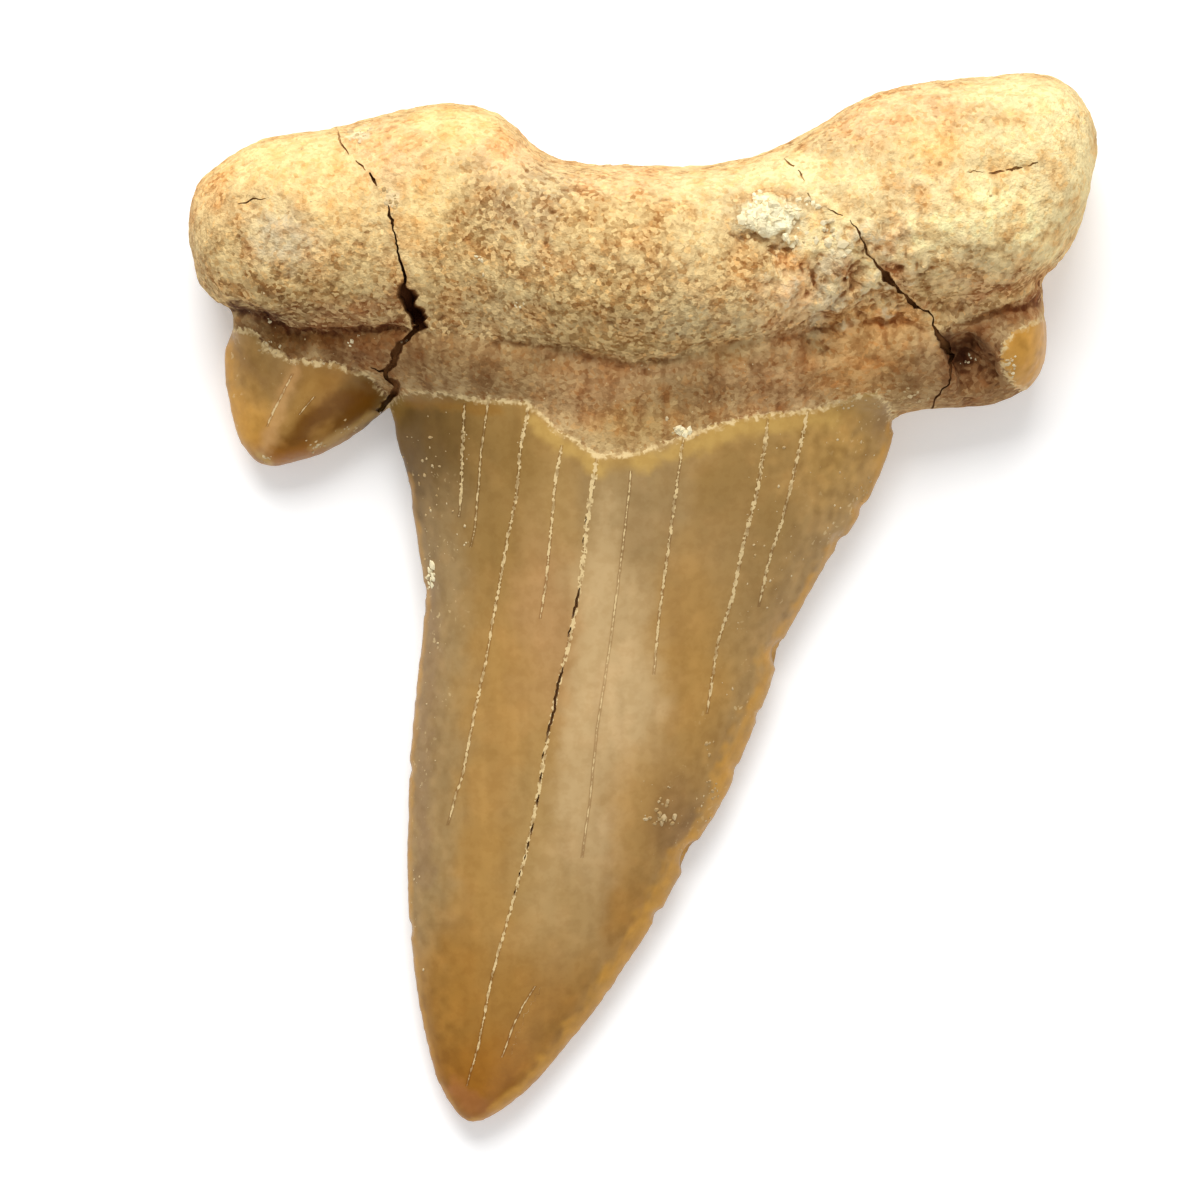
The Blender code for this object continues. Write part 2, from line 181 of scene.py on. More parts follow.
CUSP_HAIRLINES = [
    (1.7, [(294, 372), (283, 393), (273, 413), (265, 430)]),
    (1.3, [(317, 394), (304, 409), (297, 419)]),
]

# Chips out of the crown's cutting edges, as (pixel x, pixel y, radius in pixels, depth in mm)
CHIPS = [
    (777, 652, 16, 0.42), (690, 856, 18, 0.5), (730, 768, 9, 0.2), (655, 915, 9, 0.18),
    (838, 540, 10, 0.22), (860, 506, 8, 0.16), (760, 715, 8, 0.15), (600, 990, 8, 0.15),
    (432, 590, 12, 0.18), (411, 770, 9, 0.15), (409, 930, 9, 0.12), (895, 425, 8, 0.2),
]

# Where crumbs are strewn: (left, top, right, bottom in pixels, share of them)
CRUMB_ZONES = [
    (402, 410, 470, 570, 0.13), (412, 560, 440, 830, 0.10), (410, 830, 425, 1040, 0.03),
    (740, 440, 880, 560, 0.12), (720, 560, 800, 700, 0.10), (640, 780, 710, 860, 0.08),
    (240, 340, 380, 455, 0.02), (290, 438, 352, 452, 0.04), (230, 305, 400, 365, 0.05),
    (480, 360, 900, 450, 0.14), (200, 100, 1080, 300, 0.25),
]

# Heaps of clods: (pixel x, pixel y, reach across, reach up, how many, largest radius in mm, paleness)
CLODS = [
    (766, 220, 30, 17, 85, 0.28, 0.85), (756, 200, 9, 8, 9, 0.28, 0.8), (791, 238, 12, 10, 9, 0.30, 0.8),
    (389, 199, 7, 8, 7, 0.17, 0.15), (396, 205, 5, 9, 5, 0.15, 0.1), (357, 139, 11, 6, 10, 0.22, 0.45),
    (367, 131, 8, 5, 6, 0.18, 0.35), (430, 577, 4, 15, 20, 0.28, 0.8), (683, 432, 8, 3, 12, 0.26, 0.9),
    (822, 236, 16, 12, 14, 0.28, 0.6), (838, 252, 9, 8, 8, 0.26, 0.6), (806, 208, 14, 9, 9, 0.26, 0.7),
    (1010, 366, 6, 16, 12, 0.2, 0.5), (480, 260, 4, 4, 4, 0.14, 0.8), (520, 307, 5, 4, 5, 0.14, 0.6),
    (905, 398, 26, 10, 18, 0.20, 0.1), (850, 404, 36, 5, 14, 0.11, 0.2), (270, 320, 2, 3, 2, 0.12, 0.6),
    (351, 343, 4, 4, 3, 0.16, 0.7), (360, 336, 2, 2, 2, 0.11, 0.6), (279, 347, 3, 2, 2, 0.12, 0.6),
    (268, 342, 4, 3, 3, 0.12, 0.5), (403, 341, 5, 3, 4, 0.12, 0.5), (318, 443, 9, 4, 10, 0.12, 0.35),
    (345, 429, 12, 5, 6, 0.12, 0.2), (266, 458, 7, 4, 8, 0.13, 0.35), (353, 425, 14, 7, 7, 0.10, 0.3),
    (968, 365, 12, 10, 6, 0.10, 0.8), (670, 428, 8, 10, 5, 0.12, 0.5), (660, 818, 15, 12, 13, 0.26, 0.1),
    (668, 800, 10, 8, 6, 0.2, 0.05), (432, 480, 14, 44, 16, 0.14, 0.1), (866, 498, 14, 22, 12, 0.16, 0.05),
    (711, 778, 8, 46, 16, 0.17, 0.0), (270, 350, 12, 4, 8, 0.10, 0.3), (310, 362, 22, 4, 10, 0.10, 0.3),
]

# Patches with ragged borders: (pixel x, pixel y, reach across, reach up), and their measure where
# they have one: a height in millimetres, or a share of the full colour
GROUND_BY_BREAK = (845, 275, 84, 62)
RUGGED_GROUND = [(*GROUND_BY_BREAK, 0.42), (975, 372, 44, 34, 0.30)]
NECK_HOLLOW = (815, 348, 15, 13, 0.14)
STUCK_MATRIX = [(769, 222, 34, 24, 1.0), (838, 290, 14, 30, 0.7)]
WHITE_MATRIX = [(769, 222, 32, 22, 1.0), (390, 201, 14, 14, 0.37), (358, 138, 16, 9, 0.40)]
CRUSTS = [
    (960, 245, 130, 76, 1.0), (830, 360, 120, 60, 1.0), (785, 290, 60, 50, 0.8), (285, 245, 84, 60, 0.6),
]
FLECKED_ENAMEL = (835, 465, 84, 70, 1.3)

# The tones that the tooth is stained with; some of them also serve as painted shadow, shade and sheen
TONES = {
    "cream": (0.93, 0.77, 0.40),
    "flax": (0.90, 0.70, 0.34),
    "butter": (0.92, 0.66, 0.28),
    "peach": (0.84, 0.54, 0.27),
    "orange": (0.70, 0.36, 0.11),
    "rust": (0.40, 0.155, 0.045),
    "sand": (0.56, 0.37, 0.15),
    "greige": (0.50, 0.39, 0.21),
    "ash": (0.66, 0.56, 0.36),
    "chalk": (0.86, 0.78, 0.50),
    "ochre": (0.40, 0.245, 0.085),
    "taupe": (0.36, 0.235, 0.125),
    "sienna": (0.40, 0.205, 0.08),
    "umber": (0.27, 0.145, 0.05),
    "shadow_black": (0.11, 0.04, 0.012),
    "olive_and_shade": (0.14, 0.074, 0.014),
    "bronze": (0.29, 0.165, 0.042),
    "slate": (0.34, 0.225, 0.095),
    "honey": (0.42, 0.23, 0.058),
    "gold": (0.60, 0.30, 0.05),
    "tan": (0.40, 0.245, 0.083),
    "milky_sheen": (0.57, 0.395, 0.19),
    "amber": (0.34, 0.16, 0.025),
    "burnt": (0.34, 0.125, 0.006),
    "straw": (0.55, 0.345, 0.095),
    "clay": (0.50, 0.265, 0.085),
    "dawn": (0.57, 0.32, 0.12),
    "bistre_and_shade": (0.16, 0.058, 0.002),
    "russet": (0.22, 0.085, 0.025),
    "violet_sheen": (0.27, 0.165, 0.085),
    "peat": (0.46, 0.265, 0.11),
}

# Stains: (pixel x, pixel y, reach across, reach up, tone, strength)
# Some of the root's stains are painted shade and shadow, as noted at their lines
ROOT_STAINS_AND_SHADE = [
    (265, 160, 60, 30, "butter", 1.0), (205, 190, 22, 30, "orange", 0.6), (225, 250, 26, 30, "sand", 1.0),
    (285, 240, 26, 18, "ash", 1.0), (335, 195, 30, 40, "butter", 0.9), (355, 255, 30, 30, "sand", 1.0),
    (305, 292, 70, 16, "ochre", 1.2), (390, 150, 30, 30, "peach", 1.0), (455, 122, 50, 22, "butter", 1.1),
    (510, 150, 26, 22, "peach", 1.0), (425, 205, 26, 40, "butter", 0.8), (440, 280, 30, 30, "sand", 1.1),
    (522, 215, 34, 26, "taupe", 1.3), (475, 240, 38, 38, "ochre", 1.3), (560, 190, 30, 16, "greige", 0.9),
    (625, 182, 50, 14, "peach", 1.1), (710, 186, 40, 16, "cream", 0.8), (620, 225, 70, 26, "sand", 2.4),
    (700, 225, 26, 26, "cream", 0.8), (600, 300, 70, 26, "ochre", 1.3), (690, 322, 40, 20, "greige", 1.0),
    (640, 345, 90, 12, "ochre", 1.2), (735, 262, 30, 30, "sand", 0.8), (735, 210, 16, 14, "greige", 0.8),
    # On the next line, the two dark spots at (752, 239) and (777, 250) are painted shade standing in for
    # two pits
    (770, 222, 28, 18, "chalk", 1.0), (752, 239, 9, 4, "shadow_black", 2.5), (777, 250, 12, 4, "umber", 2.5),
    (785, 175, 36, 14, "cream", 1.0), (822, 236, 22, 18, "cream", 1.1), (788, 300, 24, 22, "peach", 1.0),
    (792, 256, 12, 8, "orange", 1.2), (870, 322, 40, 14, "orange", 1.1), (800, 340, 24, 18, "sienna", 1.2),
    (890, 108, 50, 24, "peach", 1.1), (1000, 92, 30, 16, "cream", 1.0), (1062, 112, 28, 26, "cream", 2.2),
    (1080, 170, 16, 26, "cream", 1.8), (1018, 150, 30, 18, "cream", 1.6),
    (935, 150, 30, 20, "butter", 0.9), (925, 205, 30, 20, "peach", 0.9), (950, 222, 50, 26, "cream", 2.6),
    (860, 175, 26, 18, "cream", 0.9), (1000, 205, 50, 22, "cream", 1.6), (1035, 232, 30, 18, "cream", 1.2),
    (960, 255, 30, 16, "greige", 1.0), (895, 245, 18, 20, "peach", 1.1), (1000, 296, 46, 12, "rust", 1.1),
    # On the next line, the dark stains at (300, 338) and (370, 352) are the neck's own dark reddish brown
    # deepened as painted shadow under the left lobe's overhang
    (925, 298, 18, 14, "sand", 1.0), (300, 338, 84, 15, "bistre_and_shade", 2.6), (370, 352, 34, 18, "russet", 1.8),
    (440, 354, 40, 24, "umber", 2.6), (520, 372, 40, 22, "umber", 1.8), (600, 395, 40, 22, "sienna", 1.7),
    (645, 425, 50, 22, "tan", 1.6), (700, 392, 36, 22, "umber", 1.6), (770, 385, 44, 20, "sienna", 1.2),
    (860, 345, 40, 14, "clay", 1.4), (850, 378, 36, 16, "clay", 2.4), (905, 380, 20, 22, "umber", 1.7),
    (972, 368, 32, 28, "russet", 3.5), (1000, 396, 36, 10, "umber", 1.6), (1030, 300, 20, 12, "rust", 1.2),
]
# Some of the enamel's stains are painted shade and sheen, as noted at their lines
ENAMEL_STAINS_SHADE_AND_SHEEN = [
    # On the next line, the dark olive stain at (425, 440) is partly the crown's own grey-brown and partly
    # painted shade on its top-left corner by the left break
    (425, 440, 38, 60, "olive_and_shade", 3.2), (465, 420, 30, 20, "bronze", 1.0), (515, 455, 36, 36, "bronze", 1.2),
    # On the next line, the slate stain at (440, 540) is partly the enamel's own grey and partly painted
    # reflection along the crown's left margin
    (440, 540, 22, 60, "slate", 1.8), (490, 550, 26, 50, "bronze", 1.0), (540, 640, 26, 70, "peat", 1.4),
    (560, 500, 20, 40, "tan", 1.0), (632, 510, 40, 50, "slate", 1.4), (722, 480, 26, 50, "bronze", 0.7),
    (770, 500, 26, 60, "bronze", 0.6), (845, 455, 40, 40, "straw", 0.7), (845, 455, 40, 40, "honey", 1.4),
    # On the next line, the slate stain at (436, 690) is partly the enamel's own grey and partly painted
    # reflection along the crown's left margin
    (800, 545, 34, 40, "tan", 0.9), (815, 470, 40, 40, "ochre", 0.5), (436, 690, 22, 100, "slate", 1.4),
    # On this and the next line, the pale milky stains down the crown's middle are partly its own pale tone
    # and partly painted sheen
    (515, 680, 34, 80, "honey", 1.2), (622, 690, 30, 70, "milky_sheen", 2.0), (588, 800, 24, 80, "milky_sheen", 0.8),
    (548, 890, 16, 50, "milky_sheen", 0.4), (600, 590, 24, 40, "milky_sheen", 0.8), (688, 650, 30, 80, "honey", 1.3),
    (738, 640, 18, 70, "ochre", 1.0), (700, 690, 26, 60, "honey", 0.9), (535, 800, 16, 90, "tan", 1.2),
    # On the next line, the slate stain at (428, 870) is partly the enamel's own grey and partly painted
    # reflection along the crown's left margin
    (640, 800, 26, 50, "honey", 1.1), (428, 870, 18, 80, "slate", 1.2), (480, 860, 22, 80, "honey", 1.1),
    (672, 826, 20, 36, "umber", 1.4), (560, 920, 34, 50, "tan", 1.0), (625, 920, 20, 40, "amber", 1.0),
    (455, 1000, 30, 60, "amber", 2.0), (545, 1010, 40, 50, "amber", 2.0),
    (450, 1020, 24, 50, "amber", 1.2), (480, 1085, 50, 40, "burnt", 2.4), (240, 378, 18, 34, "honey", 1.8),
    (246, 425, 22, 30, "gold", 0.9), (262, 372, 22, 16, "umber", 0.7), (262, 372, 14, 16, "bronze", 1.2),
    # On the next line, the dark olive stain at (365, 398) is painted shade on the cusp's right end by the
    # left break
    (330, 385, 26, 20, "amber", 1.2), (322, 425, 24, 14, "amber", 1.8), (365, 398, 20, 18, "olive_and_shade", 1.6),
    (275, 455, 34, 12, "burnt", 2.2), (1026, 350, 30, 30, "gold", 2.5),
]

# Streaks: (reach in pixels, tone, strength, places)
# Some of the root's streaks are painted shadow and shade, as noted at their lines
ROOT_STREAKS_AND_SHADOWS = [
    # The next four runs darken the crevice and band along the left lobe's ledge: partly the neck's own
    # reddish brown, partly painted shadow under the overhang
    (8, "shadow_black", 0.95, [(234, 306), (255, 313), (272, 320), (292, 326)]),
    (6, "russet", 0.9, [(288, 326), (340, 331), (384, 327), (402, 322)]),
    (15, "sienna", 0.75, [(322, 319), (350, 315), (380, 308), (398, 298)]),
    (7, "umber", 0.6, [(262, 290), (285, 304), (315, 312)]),
    (12, "ash", 0.75, [(838, 258), (832, 276), (824, 292)]),
    (9, "ash", 0.6, [(824, 292), (818, 312), (812, 332)]),
    (8, "ash", 0.6, [(822, 262), (815, 282)]),
    (8, "sienna", 0.7, [(852, 252), (846, 270), (843, 290), (832, 312)]),
    (8, "orange", 0.6, [(838, 322), (862, 312), (890, 316)]),
    (11, "slate", 0.8, [(812, 338), (817, 352)]),
    (8, "cream", 0.8, [(800, 176), (812, 196), (832, 212), (850, 226)]),
    (7, "cream", 0.8, [(812, 222), (836, 240), (856, 256), (872, 276)]),
    (6, "rust", 0.6, [(884, 262), (900, 284), (916, 300), (930, 310)]),
    (10, "russet", 0.7, [(1052, 286), (1030, 304), (1006, 318), (985, 326)]),
    (9, "clay", 0.6, [(1046, 268), (1030, 285), (1000, 300)]),
    # The next two runs darken the hole at the foot of the right break: painted shadow
    (10, "shadow_black", 0.85, [(944, 338), (954, 350), (962, 366)]),
    (9, "shadow_black", 0.6, [(962, 346), (984, 348)]),
    (8, "sand", 0.5, [(560, 334), (600, 342), (650, 350)]),
    (6, "sienna", 0.6, [(540, 352), (600, 364), (660, 374), (700, 362)]),
    # The next two runs darken the foot of the left break by the cusp: painted shade
    (6, "bistre_and_shade", 0.6, [(386, 372), (392, 388), (384, 402), (376, 414)]),
    (7, "umber", 0.5, [(352, 378), (372, 382), (384, 392)]),
]
# Some of the enamel's streaks are painted shade and sheen, as noted at their lines
ENAMEL_STREAKS_SHADE_AND_SHEEN = [
    (9, "dawn", 0.8, [(294, 374), (285, 393), (276, 416), (267, 440), (263, 452)]),
    (8, "dawn", 0.6, [(283, 420), (274, 440)]),
    # Of the next two dark runs, the first is the cusp's own dark brown band and the second is painted shade
    # on the cusp's right end by the left break
    (18, "bistre_and_shade", 0.92, [(354, 400), (330, 410), (308, 424), (292, 440)]),
    (12, "bistre_and_shade", 0.75, [(372, 392), (366, 408), (345, 422)]),
    (8, "honey", 0.6, [(312, 386), (298, 406), (284, 430)]),
    (8, "burnt", 0.8, [(318, 446), (300, 452), (280, 457)]),
    (5, "straw", 0.7, [(258, 456), (270, 462)]),
    (5, "straw", 0.6, [(312, 448), (332, 440), (352, 428), (372, 414)]),
    (8, "umber", 0.5, [(236, 352), (246, 362), (262, 380)]),
    (9, "gold", 0.8, [(226, 345), (229, 375), (234, 410), (244, 435)]),
    (12, "gold", 0.55, [(236, 395), (242, 420), (252, 440)]),
    (10, "straw", 0.75, [(536, 425), (560, 446), (580, 456), (600, 470)]),
    (10, "straw", 0.75, [(640, 464), (690, 448), (740, 430), (790, 424), (835, 418)]),
    (8, "amber", 0.6, [(410, 402), (450, 405), (500, 412)]),
    # The next run is partly the enamel's own greyish tone and partly painted reflection along the crown's
    # left margin
    (13, "violet_sheen", 0.45, [(430, 590), (424, 700), (421, 800), (423, 880)]),
    # The next two pale runs down the crown's middle are partly its own milky tone and partly painted sheen
    (16, "milky_sheen", 0.5, [(606, 500), (603, 560), (590, 640), (574, 730)]),
    (12, "milky_sheen", 0.4, [(574, 740), (562, 810)]),
    (20, "ochre", 0.7, [(882, 408), (872, 424)]),
    (10, "umber", 0.45, [(890, 404), (878, 432)]),
    (11, "rust", 0.7, [(456, 1090), (470, 1106), (490, 1110)]),
]


def spot(px, py):
    """A place in the photograph, as millimetres on the tooth."""
    return ((px - PHOTO_MIDDLE[0]) * PHOTO_MM, (PHOTO_MIDDLE[1] - py) * PHOTO_MM)


def route(places):
    return np.array([spot(px, py) for px, py in places])


def rise(value, start, full):
    """0 up to start, 1 from full, and a smooth step between."""
    share = np.clip((value - start) / (full - start), 0, 1)
    return share * share * (3 - 2 * share)


def grain(points, size, seed=0.0):
    """Smooth noise of lumps of the given size in millimetres, from about -1 to 1."""
    shift = Vector((seed * 7.3, seed * 3.1, seed * 5.7))
    return np.array([noise.noise(Vector(p) / size + shift) for p in points])


def layered(points, *layers):
    """The sum of some grains, each given as its strength, the size of its lumps and its seed."""
    return sum(strength * grain(points, size, seed) for strength, size, seed in layers)


def segments_away(flat, line):
    """Distance of each flat point to the nearest of the line's segments."""
    away = np.full(len(flat), np.inf)
    for a, b in zip(line[:-1], line[1:]):
        along = b - a
        share = np.clip((flat - a) @ along / (along @ along), 0, 1)
        away = np.minimum(away, np.linalg.norm(flat - (a + share[:, None] * along), axis=1))
    return away


def nearest_run(flat, runs):
    """Distance of each flat point to the nearest of some runs, given in millimetres."""
    return np.min([segments_away(flat, run) for run in runs], axis=0)


def depth_inside(flat, outline):
    """Signed distance to a closed outline: above zero inside it."""
    closed = np.vstack([outline, outline[:1]])
    inside = np.zeros(len(flat), bool)
    for (ax, ay), (bx, by) in zip(closed[:-1], closed[1:]):
        if ay == by:
            continue
        between = (flat[:, 1] > min(ay, by)) & (flat[:, 1] <= max(ay, by))
        crossing = ax + (flat[:, 1] - ay) * (bx - ax) / (by - ay)
        inside ^= between & (flat[:, 0] < crossing)
    away = segments_away(flat, closed)
    return np.where(inside, away, -away)


def vertex_rows(mesh, field):
    """Three numbers for each vertex: its place or its normal."""
    rows = np.empty(len(mesh.vertices) * 3, np.float32)
    mesh.vertices.foreach_get(field, rows)
    return rows.reshape(-1, 3).astype(float)


def mesh_points(mesh):
    return vertex_rows(mesh, "co") / MM


def mesh_normals(mesh):
    return vertex_rows(mesh, "normal")


def tree_of(mesh):
    """A tree of the mesh as it is now, for casting rays at it and measuring from it."""
    bm = bmesh.new()
    bm.from_mesh(mesh)
    tree = BVHTree.FromBMesh(bm)
    bm.free()
    return tree


def set_points(mesh, points):
    mesh.vertices.foreach_set("co", (points * MM).astype(np.float32).ravel())
    mesh.update()


def new_object(name, bm):
    mesh = bpy.data.meshes.new(name)
    bm.to_mesh(mesh)
    bm.free()
    obj = bpy.data.objects.new(name, mesh)
    bpy.context.scene.collection.objects.link(obj)
    return obj


def add_modifier(obj, name, kind, **settings):
    modifier = obj.modifiers.new(name, kind)
    for setting, value in settings.items():
        setattr(modifier, setting, value)


def weigh(obj, name, shares):
    """Gives the vertices their weights in a new group, in steps of a tenth."""
    group = obj.vertex_groups.new(name=name)
    for tenth in range(1, 11):
        chosen = np.flatnonzero(np.round(shares * 10) == tenth)
        group.add(chosen.tolist(), tenth / 10, "REPLACE")


def apply_modifiers(obj):
    bpy.context.view_layer.update()
    graph = bpy.context.evaluated_depsgraph_get()
    finished = bpy.data.meshes.new_from_object(obj.evaluated_get(graph))
    obj.modifiers.clear()
    old = obj.data
    obj.data = finished
    bpy.data.meshes.remove(old)
    finished.name = obj.name


def loft(bm, rings):
    """A closed form through rings of as many points each, by extruding each ring to the next."""
    count = len(rings[0])
    made = bmesh.ops.create_circle(bm, segments=count, radius=MM, cap_ends=True)
    start_cap = made["verts"][0].link_faces[0]
    all_faces = [start_cap]
    loop = list(start_cap.verts)
    for vert, point in zip(loop, rings[0]):
        vert.co = point
    for ring in rings[1:]:
        edges = [bm.edges.get((loop[i - 1], loop[i])) for i in range(count)]
        grown = bmesh.ops.extrude_edge_only(bm, edges=edges)["geom"]
        fresh = {g for g in grown if isinstance(g, bmesh.types.BMVert)}
        all_faces += [g for g in grown if isinstance(g, bmesh.types.BMFace)]
        loop = [
            next(e.other_vert(vert) for e in vert.link_edges if e.other_vert(vert) in fresh)
            for vert in loop
        ]
        for vert, point in zip(loop, ring):
            vert.co = point
    all_faces.append(bm.faces.new(loop))
    bmesh.ops.recalc_face_normals(bm, faces=all_faces)


def look_down(tree, x, y):
    """Place and normal of the upper surface below a place, both None outside the tooth."""
    return tree.ray_cast(Vector((x, y, FEELER_HEIGHT)) * MM, Vector((0, 0, -1)))[:2]


def height_at(tree, x, y):
    """The upper surface's height over a place, in millimetres, or None outside the tooth."""
    hit, _ = look_down(tree, x, y)
    return None if hit is None else hit.z / MM


def steps_along(run, step):
    """Rows along a run of rows whose first two values are x and y, no further apart than step."""
    found = []
    for a, b in zip(run[:-1], run[1:]):
        a, b = np.array(a, float), np.array(b, float)
        parts = max(1, math.ceil(np.linalg.norm(b[:2] - a[:2]) / step))
        found += [a + (b - a) * i / parts for i in range(parts)]
    found.append(np.array(run[-1], float))
    return found


def ways_aside(rows):
    """The unit vector square to the run at each of its rows."""
    flat = np.array([row[:2] for row in rows])
    way = np.gradient(flat, axis=0)
    way /= np.linalg.norm(way, axis=1)[:, None]
    return [Vector((-y, x, 0)) for x, y in way]


def stop_up(bm, slot):
    """Fills one of the solid's plain slots to its brim, so that the break can be carved finely."""
    tree = BVHTree.FromBMesh(bm)
    margin, feel, step, sink = 0.15, 0.3, 0.25, 0.4
    rows = steps_along(slot, step)
    rings = []
    for (x, y, half_width), aside in zip(rows, ways_aside(rows)):
        reach = half_width + margin
        banks = [Vector((x, y, 0)) + aside * side * (reach + feel) for side in (1, -1)]
        heights = [height_at(tree, bank.x, bank.y) for bank in banks]
        if None in heights or min(heights) < SLOT_FLOOR + sink:
            continue
        left, right = Vector((x, y, 0)) + aside * reach, Vector((x, y, 0)) - aside * reach
        foot = Vector((0, 0, SLOT_FLOOR - sink))
        rings.append([
            (left + Vector((0, 0, heights[0]))) * MM,
            (right + Vector((0, 0, heights[1]))) * MM,
            (right + foot) * MM,
            (left + foot) * MM,
        ])
    loft(bm, rings)


def wave(x, y, seed, size):
    return noise.noise(Vector((x, y, seed)) / size)


def break_cutters(runs, tree, roughness):
    """Wedges that leave the breaks: ragged in run and width, and drawn in at the foot."""
    bm = bmesh.new()
    step, above, foot_share, thinnest = 0.15, 1.5, 0.3, 0.3
    for number, run in enumerate(runs):
        places = [(*spot(px, py), width * PHOTO_MM / 2, depth) for px, py, width, depth in run]
        rows = steps_along(places, step)
        rings = []
        height = 8.0
        for i, ((x, y, half_width, depth), aside) in enumerate(zip(rows, ways_aside(rows))):
            height = height_at(tree, x, y) or height
            ends = min(i, len(rows) - 1 - i)
            sway = 0.13 * wave(x, y, number, 0.5) + 0.09 * wave(x, y, number + 3, 0.22)
            sway *= roughness * min(ends / 2, 1)
            centre = Vector((x, y, 0)) + aside * sway
            widths = []
            for side in (1, -1):
                ragged = 1 + roughness * 0.55 * wave(x, y, 5 * side + number, 0.35)
                ragged += roughness * 0.40 * wave(x, y, 9 * side + number, 0.16)
                widths.append(aside * side * half_width * max(ragged, thinnest))
            top, foot = Vector((0, 0, height + above)), Vector((0, 0, height - depth))
            rings.append([
                (centre + widths[0] + top) * MM,
                (centre + widths[1] + top) * MM,
                (centre + widths[1] * foot_share + foot) * MM,
                (centre + widths[0] * foot_share + foot) * MM,
            ])
        loft(bm, rings)
    return bm


def clump(points, px, py, across, up):
    """1 inside a patch with a ragged border, 0 outside it, and a smooth step between."""
    reach = np.array([across, up]) * PHOTO_MM
    far = np.linalg.norm((points[:, :2] - spot(px, py)) / reach, axis=1)
    return 1 - rise(far + 0.5 * grain(points, 0.8, 31) + 0.3 * grain(points, 0.35, 32), 0.6, 1.0)


def patched(points, patches):
    """The strongest of some patches at each point, each given as its place and its measure."""
    return np.max([measure * clump(points, *place) for *place, measure in patches], axis=0)


def rugged(points, px, py, across, up):
    """Heights of ridges and hollows inside a patch of rugged ground, and 0 outside it."""
    ridges = grain(points, 1.3, 16) + 0.7 * np.abs(grain(points, 0.6, 17)) + 0.3 * grain(points, 0.35, 18)
    return clump(points, px, py, across, up) * ridges


def enamel_depth(points):
    """Signed distance in from the enamel's border, on the upper side and on the lip side."""
    flat, x = points[:, :2], points[:, 0]
    outlines = [route(outline) for outline in (CROWN_ENAMEL, CUSP_ENAMEL, STUB_ENAMEL)]
    upper = np.max([depth_inside(flat, outline) for outline in outlines], axis=0)

    # The lip side's border is a slow wave, higher under the cusp, and ends before the stub
    border = 10.4 + 0.9 * np.cos(x / 4.0) + 0.02 * x**2 * (x < -10)
    lower = np.where(x < 14.5, border - points[:, 1], -1.0)
    lower_share = 1 - rise(points[:, 2], 1.0, 2.4)
    return upper * (1 - lower_share) + lower * lower_share


def ledge_drop(points):
    """Signed distance down from the root's ledge: above zero on the neck's side."""
    line = route([place[:2] for place in LEDGE_LINE])
    away = segments_away(points[:, :2], line)
    below = np.interp(points[:, 0], line[:, 0], line[:, 1]) > points[:, 1]
    return np.where(below, away, -away)


def ledge_strength(points):
    line = route([place[:2] for place in LEDGE_LINE])
    return np.interp(points[:, 0], line[:, 0], [place[2] for place in LEDGE_LINE])


def neck_share(points):
    """0 on the root and 1 from half a millimetre below its ledge."""
    return rise(ledge_drop(points), 0.0, 0.5)


def relief(points, normals, form):
    """How far each point is raised: lumps, grain, pits, ledge, neck lines, enamel and matrix."""
    enamel, drop = enamel_depth(points), ledge_drop(points)
    on_root = 1 - rise(enamel, -0.5, 0.05)
    facing_up = rise(normals[:, 2], -0.2, 0.5)
    above_ledge = rise(-drop, -0.1, 0.5)
    out = np.zeros(len(points))

    out += on_root * form.root_lumps * 0.6 * grain(points, 2.7, 1)
    out += on_root * form.root_lumps * 0.5 * grain(points, 1.15, 2)
    fine = layered(points, (0.6, 0.55, 3), (0.6, 0.34, 4))
    out += on_root * (0.4 + 0.6 * above_ledge) * form.root_grain * fine
    pitted = rise(grain(points, 0.5, 5), 0.25, 0.6) * rise(grain(points, 2.5, 15), -0.2, 0.4)
    out -= on_root * above_ledge * form.root_pits * pitted

    ragged_drop = drop + 0.25 * grain(points, 0.9, 13) + 0.12 * grain(points, 0.4, 14)
    lip = 0.7 * np.exp(-((ragged_drop + 0.3) / 0.35) ** 2)
    lip -= 1.3 * np.exp(-((ragged_drop - 0.28) / 0.33) ** 2)
    out += form.ledge_lip * lip * ledge_strength(points) * facing_up * on_root

    across, along = 0.28, 2.6
    lines = grain(points * np.array([1 / across, 1 / along, 1 / along]), 1.0, 7)
    neck = rise(drop, 0.2, 0.8) * on_root * facing_up
    out += neck * form.neck_lines * lines

    ripple = 0.035
    out += form.enamel_step * rise(enamel, -0.05, 0.22)
    out += rise(enamel, 0.0, 0.3) * ripple * grain(points * np.array([1, 0.25, 1]), 1.6, 8)

    clods = 0.45 + 0.7 * np.abs(grain(points, 0.8, 9)) + 0.35 * grain(points, 0.4, 10)
    out += facing_up * form.matrix_height * patched(points, STUCK_MATRIX) * clods
    out -= facing_up * patched(points, [NECK_HOLLOW])
    for *patch, height in RUGGED_GROUND:
        out += facing_up * height * rugged(points, *patch)

    return out


